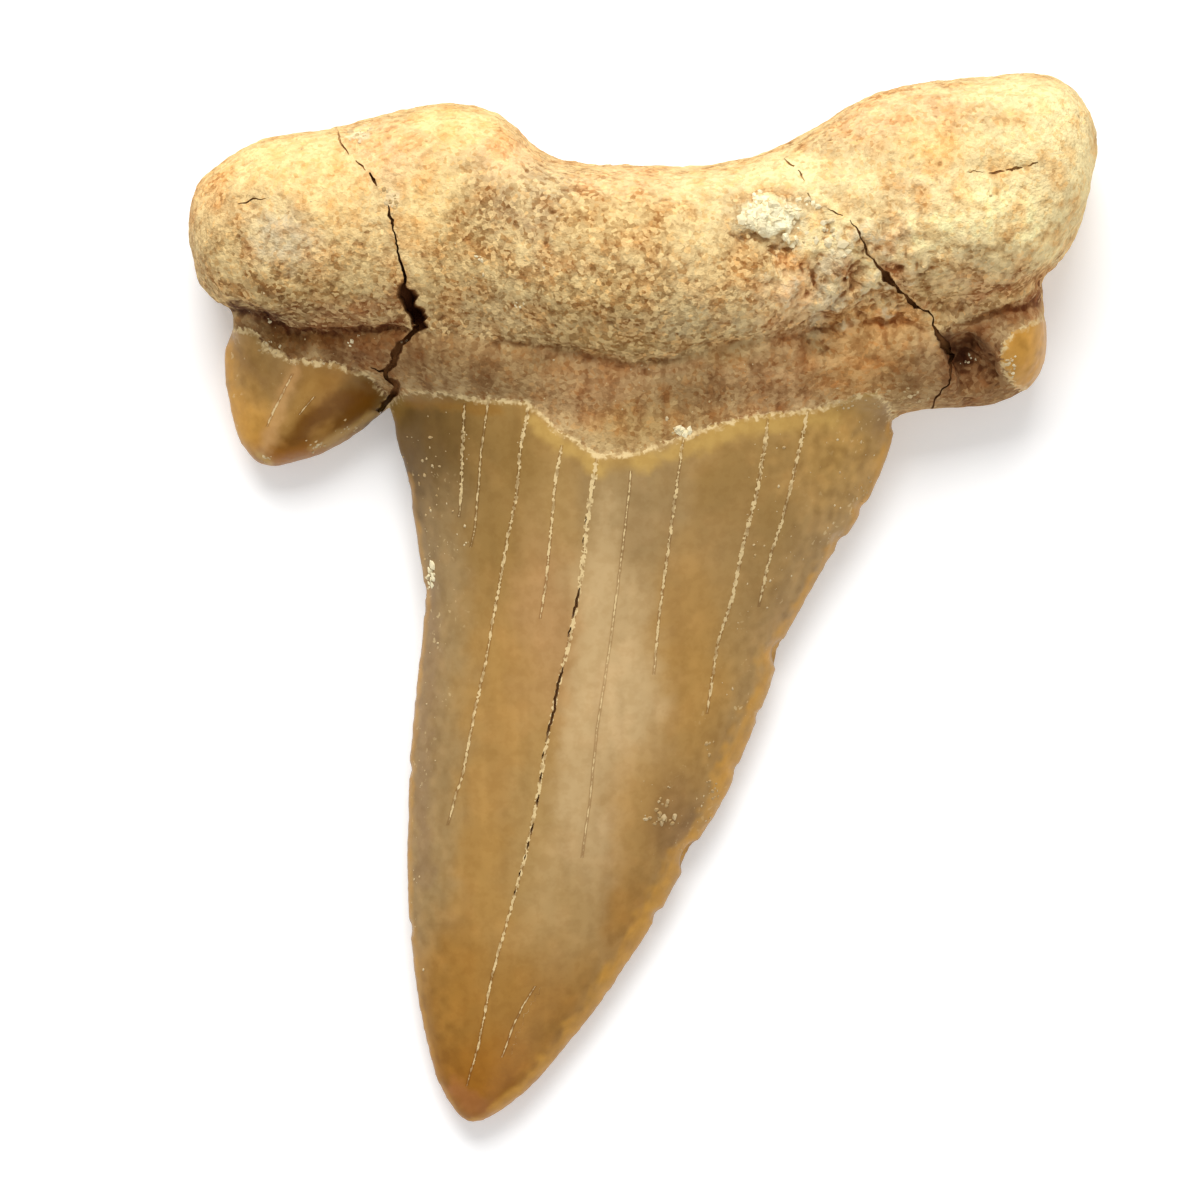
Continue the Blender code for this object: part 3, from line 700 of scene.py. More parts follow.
def carve(mesh, form):
    """Moves the skin's points out by the relief, and in where the cutting edges are worn."""
    points, normals = mesh_points(mesh), mesh_normals(mesh)
    moved = points + normals * relief(points, normals, form)[:, None]
    outline = 1 - rise(np.abs(normals[:, 2]), 0.35, 0.8)
    outward = normals * np.array([1, 1, 0])
    ragged = rise(enamel_depth(points), 0.0, 0.3) * outline * form.edge_wear
    bite = 0.5 + 0.5 * grain(points, 0.9, 11) + 0.5 * grain(points, 0.4, 12)
    moved -= outward * (ragged * np.clip(bite, 0, 2))[:, None]
    for px, py, radius, depth in CHIPS:
        far = np.linalg.norm(points[:, :2] - spot(px, py), axis=1) / (radius * PHOTO_MM)
        moved -= outward * (outline * depth * np.clip(1 - far**2, 0, 1))[:, None]

    # What rests on the floor stays there, and nothing else sinks to it
    resting_height, least_height = 0.03, 0.01
    resting = points[:, 2] < resting_height
    moved[:, 2] = np.where(resting, points[:, 2], np.maximum(moved[:, 2], least_height))
    set_points(mesh, moved)


def rim_distances(points):
    """How far each point lies in from the crown's left edge and from its right edge."""
    lowest, band = -30, 0.4
    rows = np.floor((points[:, 1] - lowest) / band).astype(int)
    left, right = np.full(rows.max() + 1, np.inf), np.full(rows.max() + 1, -np.inf)
    np.minimum.at(left, rows, points[:, 0])
    np.maximum.at(right, rows, points[:, 0])
    middles = (np.arange(len(left)) + 0.5) * band + lowest
    full = right > left
    at_left = np.interp(points[:, 1], middles[full], left[full])
    at_right = np.interp(points[:, 1], middles[full], right[full])
    return points[:, 0] - at_left, at_right - points[:, 0]


def hairline_field(flat):
    """Two fields over the enamel: a continuous one that is zero on each crack, and its half width.

    The cracks run side by side, and every second one counts its distance the other way round, so
    that halfway between two cracks the field meets itself and makes no false line.
    """
    common_lean = np.array([0.2, 1.0])
    run_on_below, run_on_above = 40, 10
    offsets, widths = [], []
    for number, (first, last, places) in enumerate(HAIRLINES):
        run = route(places)
        foot, head = run[-1] - run_on_below * common_lean, run[0] + run_on_above * common_lean
        down = np.vstack([foot, run[::-1], head])
        at = np.interp(flat[:, 1], down[:, 1], down[:, 0])
        side = 1 if number % 2 else -1
        lean = np.interp(flat[:, 1], down[:, 1], np.gradient(down[:, 0], down[:, 1]))
        offsets.append(side * (flat[:, 0] - at) / np.sqrt(1 + lean**2))
        fade = rise(run[0, 1] - flat[:, 1], -0.1, 0.4) * rise(flat[:, 1] - run[-1, 1], -0.1, 1.6)
        width = np.interp(flat[:, 1], (run[-1, 1], run[0, 1]), (last, first))
        widths.append(width * PHOTO_MM / 2 * fade)
    nearest = np.argmin(np.abs(offsets), axis=0)
    rows = np.arange(len(flat))
    return np.array(offsets)[nearest, rows], np.array(widths)[nearest, rows]


def add_short_hairlines(flat, offset, width):
    """Puts the tip's crack and the cusp's two in the same fields, each within its own strip."""
    strip = 0.45
    for line_width, places in [TIP_HAIRLINE, *CUSP_HAIRLINES]:
        run = route(places)
        down = run[::-1]
        at = np.interp(flat[:, 1], down[:, 1], down[:, 0])
        own = (np.abs(flat[:, 0] - at) < strip) & (flat[:, 1] < run[0, 1]) & (flat[:, 1] > run[-1, 1])
        fade = rise(run[0, 1] - flat[:, 1], 0, 0.4) * rise(flat[:, 1] - run[-1, 1], 0, 0.6)
        offset = np.where(own, flat[:, 0] - at, offset)
        width = np.where(own, line_width * PHOTO_MM / 2 * fade, width)
    return offset, width


def stained(points, stains, base, base_strength):
    """Colour of each point: soft stains with ragged borders over a base colour; some of the stains are
    painted shade, shadow and sheen.
    """
    warp = np.stack([grain(points, 1.6, 21), grain(points, 1.6, 22)], axis=1) * 0.7
    warp += np.stack([grain(points, 0.6, 23), grain(points, 0.6, 24)], axis=1) * 0.25
    flat = points[:, :2] + warp
    total = np.full(len(points), base_strength)
    colour = np.outer(total, base)
    for px, py, across, up, tone, strength in stains:
        reach = np.array([across, up]) * PHOTO_MM
        weight = strength * np.exp(-(((flat - spot(px, py)) / reach) ** 2).sum(axis=1))
        total += weight
        colour += np.outer(weight, TONES[tone])
    return colour / total[:, None]


def streaked(points, streaks, colour):
    """Paints the streaks over the colours, with ragged borders; some streaks are painted shadow, shade and
    sheen.
    """
    ragged = layered(points, (0.55, 0.9, 61), (0.45, 0.4, 62))
    for reach, tone, strength, places in streaks:
        away = segments_away(points[:, :2], route(places)) / (reach * PHOTO_MM)
        colour = blend(colour, TONES[tone], strength * (1 - rise(away + ragged, 0.1, 1.3)))
    return colour


def hollowness(mesh, points, normals, passes=3):
    """How far each point lies under its neighbours' mean, in millimetres: positive in a hollow."""
    edges = np.empty(len(mesh.edges) * 2, np.int32)
    mesh.edges.foreach_get("vertices", edges)
    a, b = edges.reshape(-1, 2).T
    count = np.bincount(a, minlength=len(points)) + np.bincount(b, minlength=len(points))
    mean = points.copy()
    for _ in range(passes):
        total = np.zeros_like(mean)
        np.add.at(total, a, mean[b])
        np.add.at(total, b, mean[a])
        mean = total / count[:, None]
    return ((mean - points) * normals).sum(axis=1)


def store(mesh, name, values):
    attribute = mesh.attributes.new(name, "FLOAT", "POINT")
    attribute.data.foreach_set("value", values.astype(np.float32))


def store_colour(mesh, name, colours):
    attribute = mesh.attributes.new(name, "FLOAT_COLOR", "POINT")
    with_alpha = np.column_stack([colours, np.ones(len(colours))])
    attribute.data.foreach_set("color", with_alpha.astype(np.float32).ravel())


def blend(colour, other, share):
    """Mixes a colour or a colour of each point into the points' colours."""
    return colour + (np.asarray(other) - colour) * share[:, None]


def tinted(colour, by, share):
    """Mixes the points' colours with the same colours multiplied by a shade."""
    return blend(colour, colour * by, share)


def root_tones(points, normals, finish):
    """Stains and streaks, some of them painted shadow and shade, flanks and back made browner as painted
    shade, mottles, crusts, and lines down the neck.
    """
    colour = stained(points, ROOT_STAINS_AND_SHADE, finish.root_colour[:3], base_strength=0.35)
    colour = streaked(points, ROOT_STREAKS_AND_SHADOWS, colour)
    by_break = rugged(points, *GROUND_BY_BREAK)
    colour = blend(colour, TONES["ash"], 0.65 * rise(by_break, 0.15, 0.5))
    colour = blend(colour, TONES["rust"], 0.55 * rise(-by_break, 0.0, 0.35))

    # Painted shade: faces turned sideways or down, and the back faces that look toward the key light, are
    # blended towards the darker sand tone
    flank = (1 - rise(normals[:, 2], -0.5, 0.1)) * (0.55 + 0.9 * grain(points, 2.4, 40))
    colour = blend(colour, TONES["sand"], np.clip(flank, 0, 0.8))
    back = rise(normals[:, 1], 0.35, 0.9) * (1 - rise(normals[:, 2], 0.15, 0.5))
    back *= 0.6 + 0.8 * grain(points, 2.0, 59)
    colour = blend(colour, TONES["sand"], np.clip(back, 0, 0.75))

    mottle = layered(points, (1.0, 1.3, 41), (0.5, 0.65, 42))
    colour = tinted(colour, (0.95, 0.68, 0.44), 0.48 * rise(mottle, 0.05, 0.45))
    colour = blend(colour, TONES["flax"], 0.35 * rise(-mottle, 0.1, 0.5) * rise(points[:, 1], 13, 16))
    crusty = patched(points, CRUSTS)
    crust = layered(points, (1.0, 0.8, 57), (0.7, 0.36, 58))
    colour = tinted(colour, (0.70, 0.56, 0.42), 0.62 * crusty * rise(crust, 0.02, 0.36))
    paler = np.minimum(colour * (1.3, 1.28, 1.3), 0.95)
    colour = blend(colour, paler, 0.60 * crusty * rise(-crust, 0.02, 0.36))

    wide_lines = grain(points * (1.5, 0.28, 0.28), 1.0, 43)
    lines = wide_lines + 0.6 * grain(points * (3.5, 0.5, 0.5), 1.0, 44)
    return tinted(colour, (0.58, 0.42, 0.30), 0.6 * neck_share(points) * rise(lines, 0.0, 0.5))


def enamel_tones(points, normals, finish):
    """Stains and painted streaks, some of them painted shade and sheen, streaks down the crown, flecks, the
    band under its border and the rims of its edges.
    """
    colour = stained(points, ENAMEL_STAINS_SHADE_AND_SHEEN, finish.enamel_colour[:3], base_strength=0.25)
    streaks = grain(points * (1.1, 0.12, 0.12), 1.0, 45) + 0.5 * grain(points * (2.6, 0.3, 0.3), 1.0, 46)
    colour = tinted(colour, (0.76, 0.72, 0.68), 0.28 * rise(streaks, -0.1, 0.5))
    cloud = layered(points, (1.0, 2.0, 47), (0.5, 0.8, 48))
    colour = tinted(colour, (1.18, 1.17, 1.22), 0.5 * rise(cloud, 0.0, 0.5))

    left, right = rim_distances(points)
    flecked = 0.2 + 0.8 * np.maximum(1 - rise(left, 0.8, 3.2), 1 - rise(right, 0.8, 3.6))
    flecked = np.maximum(flecked, patched(points, [FLECKED_ENAMEL]))
    flecks = layered(points, (1.0, 0.55, 55), (0.4, 1.1, 56))
    colour = tinted(colour, (0.74, 0.70, 0.62), 0.5 * flecked * rise(flecks, 0.06, 0.42))
    colour = tinted(colour, (1.22, 1.2, 1.2), 0.45 * flecked * rise(-flecks, 0.06, 0.45))

    crown = depth_inside(points[:, :2], route(CROWN_ENAMEL))
    patchy = 0.3 + 0.7 * rise(grain(points, 3.2, 49), -0.25, 0.25)
    band = 0.6 * patchy * (1 - rise(crown, 0.3, 1.2)) * (crown > -0.5)
    colour = blend(colour, finish.band_colour[:3], band)
    colour = streaked(points, ENAMEL_STREAKS_SHADE_AND_SHEEN, colour)

    # The right edge's rim widens towards the tip, and both end where the neck begins
    uneven = layered(points, (0.4, 1.3, 50), (0.35, 0.5, 53))
    wider = 0.5 * rise(-points[:, 1], -2.0, 8.0)
    right_rim = 1 - rise(right + uneven - wider, 0.2, 0.8)
    left_rim = 1 - rise(left + 0.25 * uneven, 0.12, 0.36)
    worn = (0.85 + 0.5 * grain(points, 0.7, 54)) * (0.3 + 0.7 * rise(normals[:, 2], 0.0, 0.35))
    rim = np.clip(0.85 * np.maximum(right_rim, 0.65 * left_rim) * worn, 0, 1)
    return blend(colour, finish.rim_colour[:3], rim * (points[:, 1] < 9.9))


def paint(mesh, uncut_tree, finish):
    """Writes what the material reads: borders, cracks, depths in the breaks, and tones."""
    points, normals = mesh_points(mesh), mesh_normals(mesh)
    flat = points[:, :2]
    store(mesh, "enamel_depth", enamel_depth(points))
    store(mesh, "neck", neck_share(points))
    offset, width = add_short_hairlines(flat, *hairline_field(flat))
    store(mesh, "crack_offset", offset)
    store(mesh, "crack_width", width * rise(points[:, 2], 1.2, 1.8))
    store(mesh, "hollow", hollowness(mesh, points, normals))
    left, right = rim_distances(points)
    near_edge = np.maximum(1 - rise(left, 0.8, 3.4), 1 - rise(right, 1.0, 4.2))
    dusty = layered(points, (1.0, 2.0, 51), (0.4, 0.8, 52))
    store(mesh, "dust", near_edge * rise(dusty, 0.0, 0.3) * rise(points[:, 1], -16, -6))
    store(mesh, "matrix", patched(points, WHITE_MATRIX) * rise(points[:, 2], 4, 6))

    # How far each point by a break lies below the skin as it was before the breaks were cut, which the
    # material turns into painted shade in the breaks
    widest, lowest = 1.4, 1.5
    by_cuts = nearest_run(flat, [route([row[:2] for row in run]) for run in ALL_CUTS]) < widest
    sunk = np.zeros(len(points))
    for i in np.flatnonzero(by_cuts & (points[:, 2] > lowest)):
        sunk[i] = uncut_tree.find_nearest(Vector(points[i]) * MM)[3] / MM
    store(mesh, "sunk", sunk)
    store_colour(mesh, "root_tone", root_tones(points, normals, finish))
    store_colour(mesh, "enamel_tone", enamel_tones(points, normals, finish))


class Nodes:
    """A new material, and a short way to write its nodes."""

    def __init__(self, name):
        self.material = bpy.data.materials.new(name)
        self.material.use_nodes = True
        self.tree = self.material.node_tree
        self.tree.nodes.clear()

    def link(self, value, socket):
        if isinstance(value, bpy.types.NodeSocket):
            self.tree.links.new(value, socket)
        else:
            socket.default_value = value

    def add(self, kind, inputs=None, output=0, **settings):
        node = self.tree.nodes.new("ShaderNode" + kind)
        for name, value in settings.items():
            setattr(node, name, value)
        for name, value in (inputs or {}).items():
            self.link(value, node.inputs[name])
        return node.outputs[output] if len(node.outputs) else None

    def attribute(self, name, output="Fac"):
        return self.add("Attribute", output=output, attribute_name=name)

    def math(self, operation, first, second=0.0):
        return self.add("Math", {0: first, 1: second}, operation=operation)

    def times(self, first, second):
        return self.math("MULTIPLY", first, second)

    def step(self, value, start, full, low=0.0, high=1.0):
        inputs = {"Value": value, "From Min": start, "From Max": full, "To Min": low, "To Max": high}
        return self.add("MapRange", inputs, interpolation_type="SMOOTHSTEP")

    def mix(self, share, first, second, mode="MIX"):
        inputs = {0: share, 6: first, 7: second}
        return self.add("Mix", inputs, output=2, data_type="RGBA", blend_type=mode)

    def shade(self, colour, by):
        return self.mix(1.0, colour, (*by, 1.0), "MULTIPLY")

    def place(self):
        """Object coordinates in millimetres."""
        where = self.add("TexCoord", output="Object")
        return self.add("Mapping", {"Vector": where, "Scale": (1 / MM, 1 / MM, 1 / MM)})

    def noise(self, per_mm, detail=2.0, rough=0.5, output=0):
        inputs = {"Vector": self.place(), "Scale": per_mm, "Detail": detail, "Roughness": rough}
        return self.add("TexNoise", inputs, output=output)

    def cells(self, per_mm):
        """Two random values for each of many small cells with bent borders."""
        bent = self.noise(per_mm * 0.7, 1.0, output=1)
        bent = self.add("VectorMath", {0: bent, 1: (0.22, 0.22, 0.22)}, operation="MULTIPLY")
        where = self.add("VectorMath", {0: self.place(), 1: bent}, operation="ADD")
        cell = self.add("TexVoronoi", {"Vector": where, "Scale": per_mm}, output="Color")
        parts = self.tree.nodes.new("ShaderNodeSeparateColor")
        self.link(cell, parts.inputs[0])
        return parts.outputs[0], parts.outputs[1]

    def surface(self, inputs):
        """Gives the material a Principled shader with these inputs, and returns the material."""
        shader = self.add("BsdfPrincipled", inputs)
        self.add("OutputMaterial", {"Surface": shader})
        return self.material


def root_nodes(n, finish, calm, blotch, chance, tint):
    """The root is made of sand grains that each have a tone of their own, plainer where it is bright."""
    root = n.attribute("root_tone", "Color")
    bright = n.add("RGBToBW", {"Color": root}, output="Val")
    contrast = n.times(n.step(bright, 0.30, 0.60, 1.0, 0.35), calm)
    dim = n.times(n.step(blotch, 0.46, 0.34), contrast)
    root = n.mix(n.times(dim, 0.75), root, n.shade(root, (0.60, 0.45, 0.31)))
    lit = n.times(n.step(blotch, 0.55, 0.68, 0, 0.5), n.step(calm, 0.55, 1.0, 0.15, 1.0))
    root = n.mix(lit, root, n.mix(0.55, n.shade(root, (1.35, 1.3, 1.2)), finish.sand_colour))

    dark = n.times(n.step(chance, 0.42, 0.12), contrast)
    pale = n.times(n.step(chance, 0.60, 0.90), n.times(contrast, n.step(bright, 0.06, 0.2, 0.3, 1.0)))
    root = n.mix(n.times(dark, 0.75), root, n.shade(root, (0.56, 0.43, 0.28)))
    pale_grain = n.mix(0.5, n.shade(root, (1.6, 1.5, 1.35)), finish.sand_colour)
    root = n.mix(n.times(pale, n.step(calm, 0.55, 1.0, 0.4, 0.65)), root, pale_grain)
    root = n.mix(n.step(tint, 0.75, 0.9, 0, 0.4), root, n.shade(root, (1.0, 0.74, 0.46)))

    deep = n.times(n.step(n.attribute("hollow"), 0.01, 0.06), n.step(bright, 0.30, 0.60, 0.85, 0.5))
    root = n.mix(deep, root, n.shade(root, (0.42, 0.26, 0.14)))
    return n.mix(n.step(n.attribute("matrix"), 0.25, 0.6), root, finish.matrix_colour)


def enamel_nodes(n, finish, blotch):
    """The enamel's tones, with mineral specks stuck to it near its margins."""
    coat = n.attribute("enamel_tone", "Color")
    specks = n.times(n.step(n.noise(3.6, 1.0), 0.64, 0.70, 0, 0.45), n.attribute("dust"))
    coat = n.mix(specks, coat, finish.fill_colour)
    return n.mix(n.step(blotch, 0.60, 0.36, 0, 0.34), coat, n.shade(coat, (0.80, 0.73, 0.62)))


def border_nodes(n, blotch, chance):
    """Where the enamel is, and the share of the crumbly pale rim along its border."""
    wobble = n.times(n.math("SUBTRACT", n.noise(2.2, 2.0, rough=0.7), 0.5), 0.75)
    border = n.math("ADD", n.attribute("enamel_depth"), wobble)
    rim = n.times(n.step(border, -0.16, -0.02), n.step(border, 0.30, 0.12))
    rim = n.times(rim, n.step(blotch, 0.36, 0.55, 0.2, 0.9))
    rim = n.times(rim, n.step(chance, 0.15, 0.6, 0.15, 1.0))
    return n.step(border, -0.03, 0.05), rim


def hairline_nodes(n, finish, coat, blotch):
    """Fine cracks in the enamel: a cream fill in broken stretches, over a thin dark line painted as the
    cracks' shadow.
    """
    stray = n.times(n.math("SUBTRACT", blotch, 0.5), 0.10)
    offset = n.math("ABSOLUTE", n.math("ADD", n.attribute("crack_offset"), stray))
    width = n.attribute("crack_width")
    shown = n.math("GREATER_THAN", width, 0.010)
    filled = n.times(width, n.step(n.noise(4.5, 1.0), 0.36, 0.62, 0.15, 1.35))
    fill = n.times(n.math("LESS_THAN", offset, filled), shown)
    # Painted shadow: a thin dark line along each crack
    crack_shadow = n.times(n.step(offset, 0.13, 0.03), shown)
    coat = n.mix(n.times(crack_shadow, 0.55), coat, n.shade(coat, (0.5, 0.38, 0.28)))
    fill_share = n.times(fill, n.step(blotch, 0.36, 0.56, 0.3, 0.9))
    return n.mix(fill_share, coat, finish.fill_colour), fill_share


def tooth_material(finish):
    n = Nodes("fossil_tooth")
    calm = n.step(n.attribute("neck"), 0.0, 1.0, 1.0, 0.55)
    blotch = n.noise(1.7, 2.0, rough=0.65)
    chance, tint = n.cells(4.6)
    is_enamel, rim = border_nodes(n, blotch, chance)
    is_root = n.math("SUBTRACT", 1.0, is_enamel)
    coat, fill_share = hairline_nodes(n, finish, enamel_nodes(n, finish, blotch), blotch)
    colour = n.mix(is_enamel, root_nodes(n, finish, calm, blotch, chance, tint), coat)
    colour = n.mix(rim, colour, finish.fill_colour)

    # The breaks' walls, their own brown darkened as painted shade, and their bottoms painted darker still
    # as shade that deepens with depth
    sunk = n.attribute("sunk")
    wall = n.mix(n.step(sunk, 0.35, 1.3), finish.break_wall_tone_and_shade, finish.break_floor_shade)
    colour = n.mix(n.step(sunk, 0.0, 0.5), colour, wall)

    rough = n.step(is_root, 0.0, 1.0, finish.enamel_roughness, 0.88)
    rough = n.math("MAXIMUM", rough, n.times(n.math("MAXIMUM", fill_share, rim), 0.85))
    strength = n.times(n.times(is_root, calm), 0.8)
    sandy = n.noise(3.6, 2.0, rough=0.65)
    bump = n.add("Bump", {"Strength": strength, "Distance": 0.20 * MM, "Height": sandy})
    return n.surface({
        "Base Color": colour, "Roughness": rough, "Normal": bump,
        "Specular IOR Level": 0.15, "Metallic": 0.0,
    })


def crumb_material(finish):
    n = Nodes("matrix_crumbs")
    colour = n.mix(n.attribute("paleness"), finish.crumb_colour, finish.matrix_colour)
    return n.surface({"Base Color": colour, "Roughness": 0.85, "Specular IOR Level": 0.3})


def colour_property(name, description, default):
    return FloatVectorProperty(
        name=name, description=description, default=(*default, 1.0),
        size=4, subtype="COLOR", min=0.0, max=1.0,
    )


def size_property(name, description, default):
    """A size in millimetres."""
    return FloatProperty(name=name, description=description + ", in millimetres", default=default)


def share_property(name, description, default):
    return FloatProperty(
        name=name, description=description, default=default, subtype="FACTOR", min=0.0, max=1.0
    )


class ToothForm(bpy.types.PropertyGroup):
    """Sizes of the carved skin."""

    skin_grain: size_property("Skin grain", "Side of the skin's facets", 0.20)
    kept_share: share_property("Kept share", "Share of facets kept when the lip side is thinned out", 0.76)
    root_lumps: size_property("Root lumps", "Height of the root's lumps", 0.17)
    root_grain: size_property("Root grain", "Height of the root's sandy grain", 0.08)
    root_pits: size_property("Root pits", "Depth of the root's small pits", 0.09)
    ledge_lip: size_property("Ledge lip", "How far the ledge's lip stands out", 0.26)
    neck_lines: size_property("Neck lines", "Height of the lines down the neck", 0.05)
    enamel_step: size_property("Enamel step", "Height of the enamel's border", 0.12)
    matrix_height: size_property("Matrix", "Height of the stuck matrix", 0.6)
    edge_wear: size_property("Edge wear", "Raggedness of the cutting edges", 0.07)


class ToothFinish(bpy.types.PropertyGroup):
    """Colours and gloss of the tooth."""

    root_colour: colour_property("Root", "Ground colour of the root", (0.60, 0.43, 0.21))
    enamel_colour: colour_property("Enamel", "Ground colour of the enamel", (0.38, 0.23, 0.08))
    sand_colour: colour_property("Sand", "Pale sand grains on the root", (0.84, 0.66, 0.33))
    matrix_colour: colour_property("Matrix", "White matrix stuck to the root", (0.92, 0.84, 0.56))
    crumb_colour: colour_property("Crumbs", "The brownest crumbs of matrix", (0.44, 0.29, 0.12))
    fill_colour: colour_property("Crack fill", "Cream mineral in the cracks", (0.74, 0.56, 0.28))
    band_colour: colour_property("Enamel band", "Yellow band under the border", (0.44, 0.255, 0.06))
    rim_colour: colour_property("Enamel rim", "Orange of the thin cutting edges", (0.57, 0.285, 0.04))
    # The breaks' walls and bottoms are painted shade, darker with depth, over the broken root's own brown
    break_wall_tone_and_shade: colour_property("Break wall", "Walls of the open breaks", (0.28, 0.12, 0.035))
    break_floor_shade: colour_property("Break floor", "Bottom of the open breaks", (0.08, 0.022, 0.005))
    enamel_roughness: share_property("Enamel roughness", "Roughness of the polished enamel", 0.34)


class ToothCrumbs(bpy.types.PropertyGroup):
    """Matrix crumbs stuck to the tooth."""

    count: IntProperty(name="Crumbs", description="How many crumbs are strewn", default=330, min=0)
    least: size_property("Least crumb", "Radius of the least", 0.03)
    largest: size_property("Largest crumb", "Radius of the largest", 0.10)
    seed: IntProperty(name="Seed", description="Start of the strewing", default=4)


class ToothStage(bpy.types.PropertyGroup):
    """Camera, floor and lights."""

    camera_height: FloatProperty(
        name="Camera height", description="Camera above the floor", default=1.0, unit="LENGTH"
    )
    key_power: FloatProperty(
        name="Key light", description="Power of the main light", default=3.9, unit="POWER"
    )
    fill_power: FloatProperty(
        name="Fill light", description="Power of the fill light", default=0.8, unit="POWER"
    )
    sky: FloatProperty(name="Sky", description="Strength of the white surroundings", default=0.44)
    floor_colour: colour_property("Floor", "Pale plain floor", (0.92, 0.92, 0.92))
    floor_glow: FloatProperty(name="Floor glow", description="Own light of the white floor", default=0.22)


class TOOTH_OT_carve(bpy.types.Operator):
    """Make the tooth's skin from its solid: fine facets, carved grain, breaks and pits"""

    bl_idname = "tooth.carve"
    bl_label = "Carve Tooth"

    def execute(self, context):
        form = context.scene.tooth_form
        finish = context.scene.tooth_finish
        tooth = self.skin(form)
        self.smooth(tooth)
        self.thin_out(tooth, form)
        carve(tooth.data, form)
        uncut_tree = tree_of(tooth.data)
        self.cut_breaks(tooth, uncut_tree)
        paint(tooth.data, uncut_tree, finish)
        tooth.data.materials.clear()
        tooth.data.materials.append(tooth_material(finish))
        tooth.data.shade_smooth()
        tooth.data.set_sharp_from_angle(angle=math.radians(60))
        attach(tooth, BODY)
        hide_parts(NODE)
        return {"FINISHED"}

    def skin(self, form):
        """An even, fine skin over the solid, with its two plain slots stopped up."""
        bm = bmesh.new()
        bm.from_mesh(bpy.data.objects[NODE].data)
        bmesh.ops.remove_doubles(bm, verts=bm.verts[:], dist=0.001 * MM)
        for slot in (LEFT_SLOT, RIGHT_SLOT):
            stop_up(bm, slot)
        tooth = new_object("tooth", bm)
        add_modifier(tooth, "skin", "REMESH", mode="VOXEL", voxel_size=form.skin_grain * MM)
        apply_modifiers(tooth)
        return tooth

    def smooth(self, tooth):
        """Smooths the facets away: much on the broad faces and by the slots, little elsewhere."""
        share = rise(np.abs(mesh_normals(tooth.data)[:, 2]), 0.3, 0.8)
        slots = [np.array(slot)[:, :2] for slot in (LEFT_SLOT, RIGHT_SLOT)]
        by_slots = 1 - rise(nearest_run(mesh_points(tooth.data)[:, :2], slots), 0.6, 1.0)
        weigh(tooth, "broad_faces", np.maximum(share, by_slots))
        add_modifier(tooth, "smooth", "SMOOTH", factor=0.5, iterations=14, vertex_group="broad_faces")
        add_modifier(tooth, "light_smooth", "SMOOTH", factor=0.5, iterations=2)
        apply_modifiers(tooth)
        tooth.vertex_groups.clear()

    def thin_out(self, tooth, form):
        """Takes facets out of the lip side, which needs no fine carving."""
        heights, facing = mesh_points(tooth.data)[:, 2], mesh_normals(tooth.data)[:, 2]
        weigh(tooth, "lip_side", (facing < -0.3) & (heights < 4))
        add_modifier(
            tooth, "thin_out", "DECIMATE",
            ratio=form.kept_share, vertex_group="lip_side", vertex_group_factor=1000,
        )
        apply_modifiers(tooth)
        tooth.vertex_groups.clear()

    def cut_breaks(self, tooth, tree):
        """Cuts the breaks, the split down the crown and the pits out of the skin."""
        cuts = {
            "break_cutter": ([LEFT_BREAK], 1.0),
            "twig_cutter": ([LEFT_TWIG], 1.0),
            "right_cutter": ([RIGHT_BREAK], 1.0),
            "split_cutter": (CROWN_SPLIT, 0.7),
            "pit_cutter": (SPOT_CUTS, 1.0),
        }
        cutters = [
            new_object(name, break_cutters(runs, tree, roughness))
            for name, (runs, roughness) in cuts.items()
        ]
        for cutter in cutters:
            add_modifier(
                tooth, cutter.name, "BOOLEAN", operation="DIFFERENCE", solver="MANIFOLD", object=cutter
            )
        apply_modifiers(tooth)
        for cutter in cutters:
            bpy.data.objects.remove(cutter)


def strew_crumb(bm, tree, pick, x, y, radius, sink, paleness):
    """Sets one irregular crumb on the tooth under a place; sink is the share of its radius."""
    steepest = 0.15
    hit, normal = look_down(tree, x, y)
    if hit is None or normal.z < steepest:
        return
    layer = bm.verts.layers.float["paleness"]
    made = bmesh.ops.create_icosphere(bm, subdivisions=1, radius=radius * MM)["verts"]
    stretch = Vector([pick.uniform(0.7, 1.3) for _ in range(3)])
    for vert in made:
        vert.co = vert.co * stretch * pick.uniform(0.7, 1.25)
        vert[layer] = paleness
    bmesh.ops.translate(bm, verts=made, vec=hit - normal * radius * sink * MM)


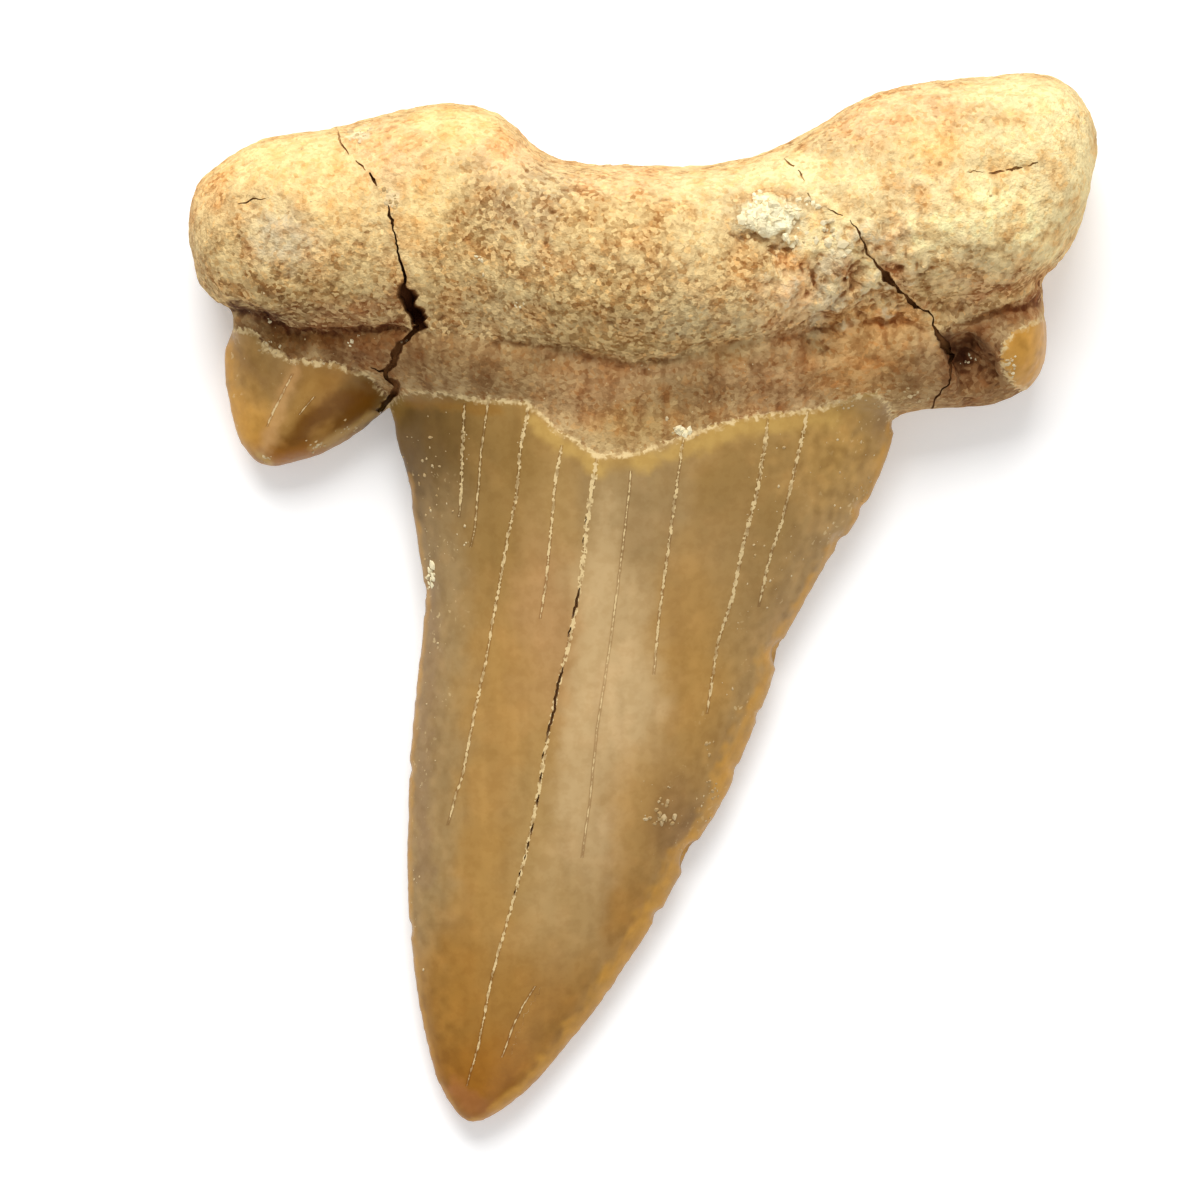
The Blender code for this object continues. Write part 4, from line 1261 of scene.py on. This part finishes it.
class TOOTH_OT_strew(bpy.types.Operator):
    """Strew matrix crumbs along the crown's margins and on the root"""

    bl_idname = "tooth.strew"
    bl_label = "Strew Crumbs"

    def execute(self, context):
        crumbs = context.scene.tooth_crumbs
        pick = random.Random(crumbs.seed)
        tree = tree_of(bpy.data.objects["tooth"].data)
        bm = bmesh.new()
        bm.verts.layers.float.new("paleness")
        zone_shares = [zone[4] for zone in CRUMB_ZONES]
        for _ in range(crumbs.count):
            left, top, right, bottom, _ = pick.choices(CRUMB_ZONES, zone_shares)[0]
            x, y = spot(pick.uniform(left, right), pick.uniform(top, bottom))
            radius = crumbs.least + (crumbs.largest - crumbs.least) * pick.random() ** 3
            paleness = pick.uniform(0.05, 0.4)
            strew_crumb(bm, tree, pick, x, y, radius, sink=0.3, paleness=paleness)
        for px, py, across, up, number, largest, pale in CLODS:
            for _ in range(number):
                angle, far = pick.uniform(0, math.tau), math.sqrt(pick.random())
                x, y = spot(px + across * far * math.cos(angle), py + up * far * math.sin(angle))
                radius = pick.uniform(0.4, 1.0) * largest
                paleness = max(0.0, pick.uniform(pale - 0.25, pale + 0.15))
                strew_crumb(bm, tree, pick, x, y, radius, sink=0.45, paleness=paleness)
        piece = new_object("matrix_crumbs", bm)
        piece.data.materials.append(crumb_material(context.scene.tooth_finish))
        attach(piece, BODY)
        return {"FINISHED"}


class TOOTH_OT_stage(bpy.types.Operator):
    """Set the pale floor, the soft lights and the camera over the tooth"""

    bl_idname = "tooth.stage"
    bl_label = "Set Stage"

    def execute(self, context):
        stage = context.scene.tooth_stage
        scene = context.scene
        scene.view_settings.view_transform = "Standard"
        scene.view_settings.look = "None"
        self.add_floor(stage)
        self.add_world(scene, stage)
        self.add_light("key_light", place=(-0.05, 0.42, 0.42), side=0.40, power=stage.key_power)
        self.add_light("fill_light", place=(0.25, -0.45, 0.40), side=0.45, power=stage.fill_power)
        self.add_camera(scene, stage)
        return {"FINISHED"}

    def add_floor(self, stage):
        half_side, clearance = 3.0, 0.02 * MM
        bm = bmesh.new()
        bmesh.ops.create_grid(bm, x_segments=1, y_segments=1, size=half_side)
        bmesh.ops.translate(bm, verts=bm.verts[:], vec=(0, 0, -clearance))
        floor = new_object("floor", bm)
        floor.data.materials.append(Nodes("pale_floor").surface({
            "Base Color": stage.floor_colour, "Roughness": 0.9,
            "Emission Color": (1, 1, 1, 1), "Emission Strength": stage.floor_glow,
        }))

    def add_world(self, scene, stage):
        world = bpy.data.worlds.new("white_surroundings")
        scene.world = world
        world.use_nodes = True
        background = world.node_tree.nodes["Background"]
        background.inputs["Color"].default_value = (1.0, 1.0, 1.0, 1.0)
        background.inputs["Strength"].default_value = stage.sky

    def add_light(self, name, place, side, power):
        data = bpy.data.lights.new(name, "AREA")
        data.size = side
        data.energy = power
        light = bpy.data.objects.new(name, data)
        light.location = place
        light.rotation_euler = (-Vector(place)).to_track_quat("-Z", "Y").to_euler()
        bpy.context.scene.collection.objects.link(light)

    def add_camera(self, scene, stage):
        data = bpy.data.cameras.new("camera")
        camera = bpy.data.objects.new("camera", data)
        scene.collection.objects.link(camera)
        scene.camera = camera
        middle_height = 4.0 * MM
        x, y = spot(PHOTO_SIDE / 2, PHOTO_SIDE / 2)
        seen = PHOTO_SIDE * PHOTO_MM * MM
        data.sensor_width = 36.0
        data.lens = data.sensor_width * (stage.camera_height - middle_height) / seen
        data.clip_start = 0.01
        data.clip_end = 10.0
        camera.location = (x * MM, y * MM, stage.camera_height)


class TOOTH_PT_panel(bpy.types.Panel):
    """Lists the steps that make the tooth"""

    bl_label = "Fossil Shark Tooth"
    bl_space_type = "VIEW_3D"
    bl_region_type = "UI"
    bl_category = "Tooth"

    def draw(self, context):
        for operator in OPERATORS:
            self.layout.operator(operator.bl_idname)


SETTINGS = {
    "tooth_form": ToothForm,
    "tooth_finish": ToothFinish,
    "tooth_crumbs": ToothCrumbs,
    "tooth_stage": ToothStage,
}
OPERATORS = (TOOTH_OT_carve, TOOTH_OT_strew, TOOTH_OT_stage)


def register():
    for group in SETTINGS.values():
        bpy.utils.register_class(group)
    for operator in OPERATORS:
        bpy.utils.register_class(operator)
    bpy.utils.register_class(TOOTH_PT_panel)
    for name, group in SETTINGS.items():
        setattr(bpy.types.Scene, name, PointerProperty(type=group))


def unregister():
    for name in SETTINGS:
        delattr(bpy.types.Scene, name)
    bpy.utils.unregister_class(TOOTH_PT_panel)
    for operator in OPERATORS:
        bpy.utils.unregister_class(operator)
    for group in SETTINGS.values():
        bpy.utils.unregister_class(group)


def main():
    register()
    bpy.ops.tooth.carve()
    bpy.ops.tooth.strew()
    bpy.ops.tooth.stage()


if __name__ == "__main__":
    main()
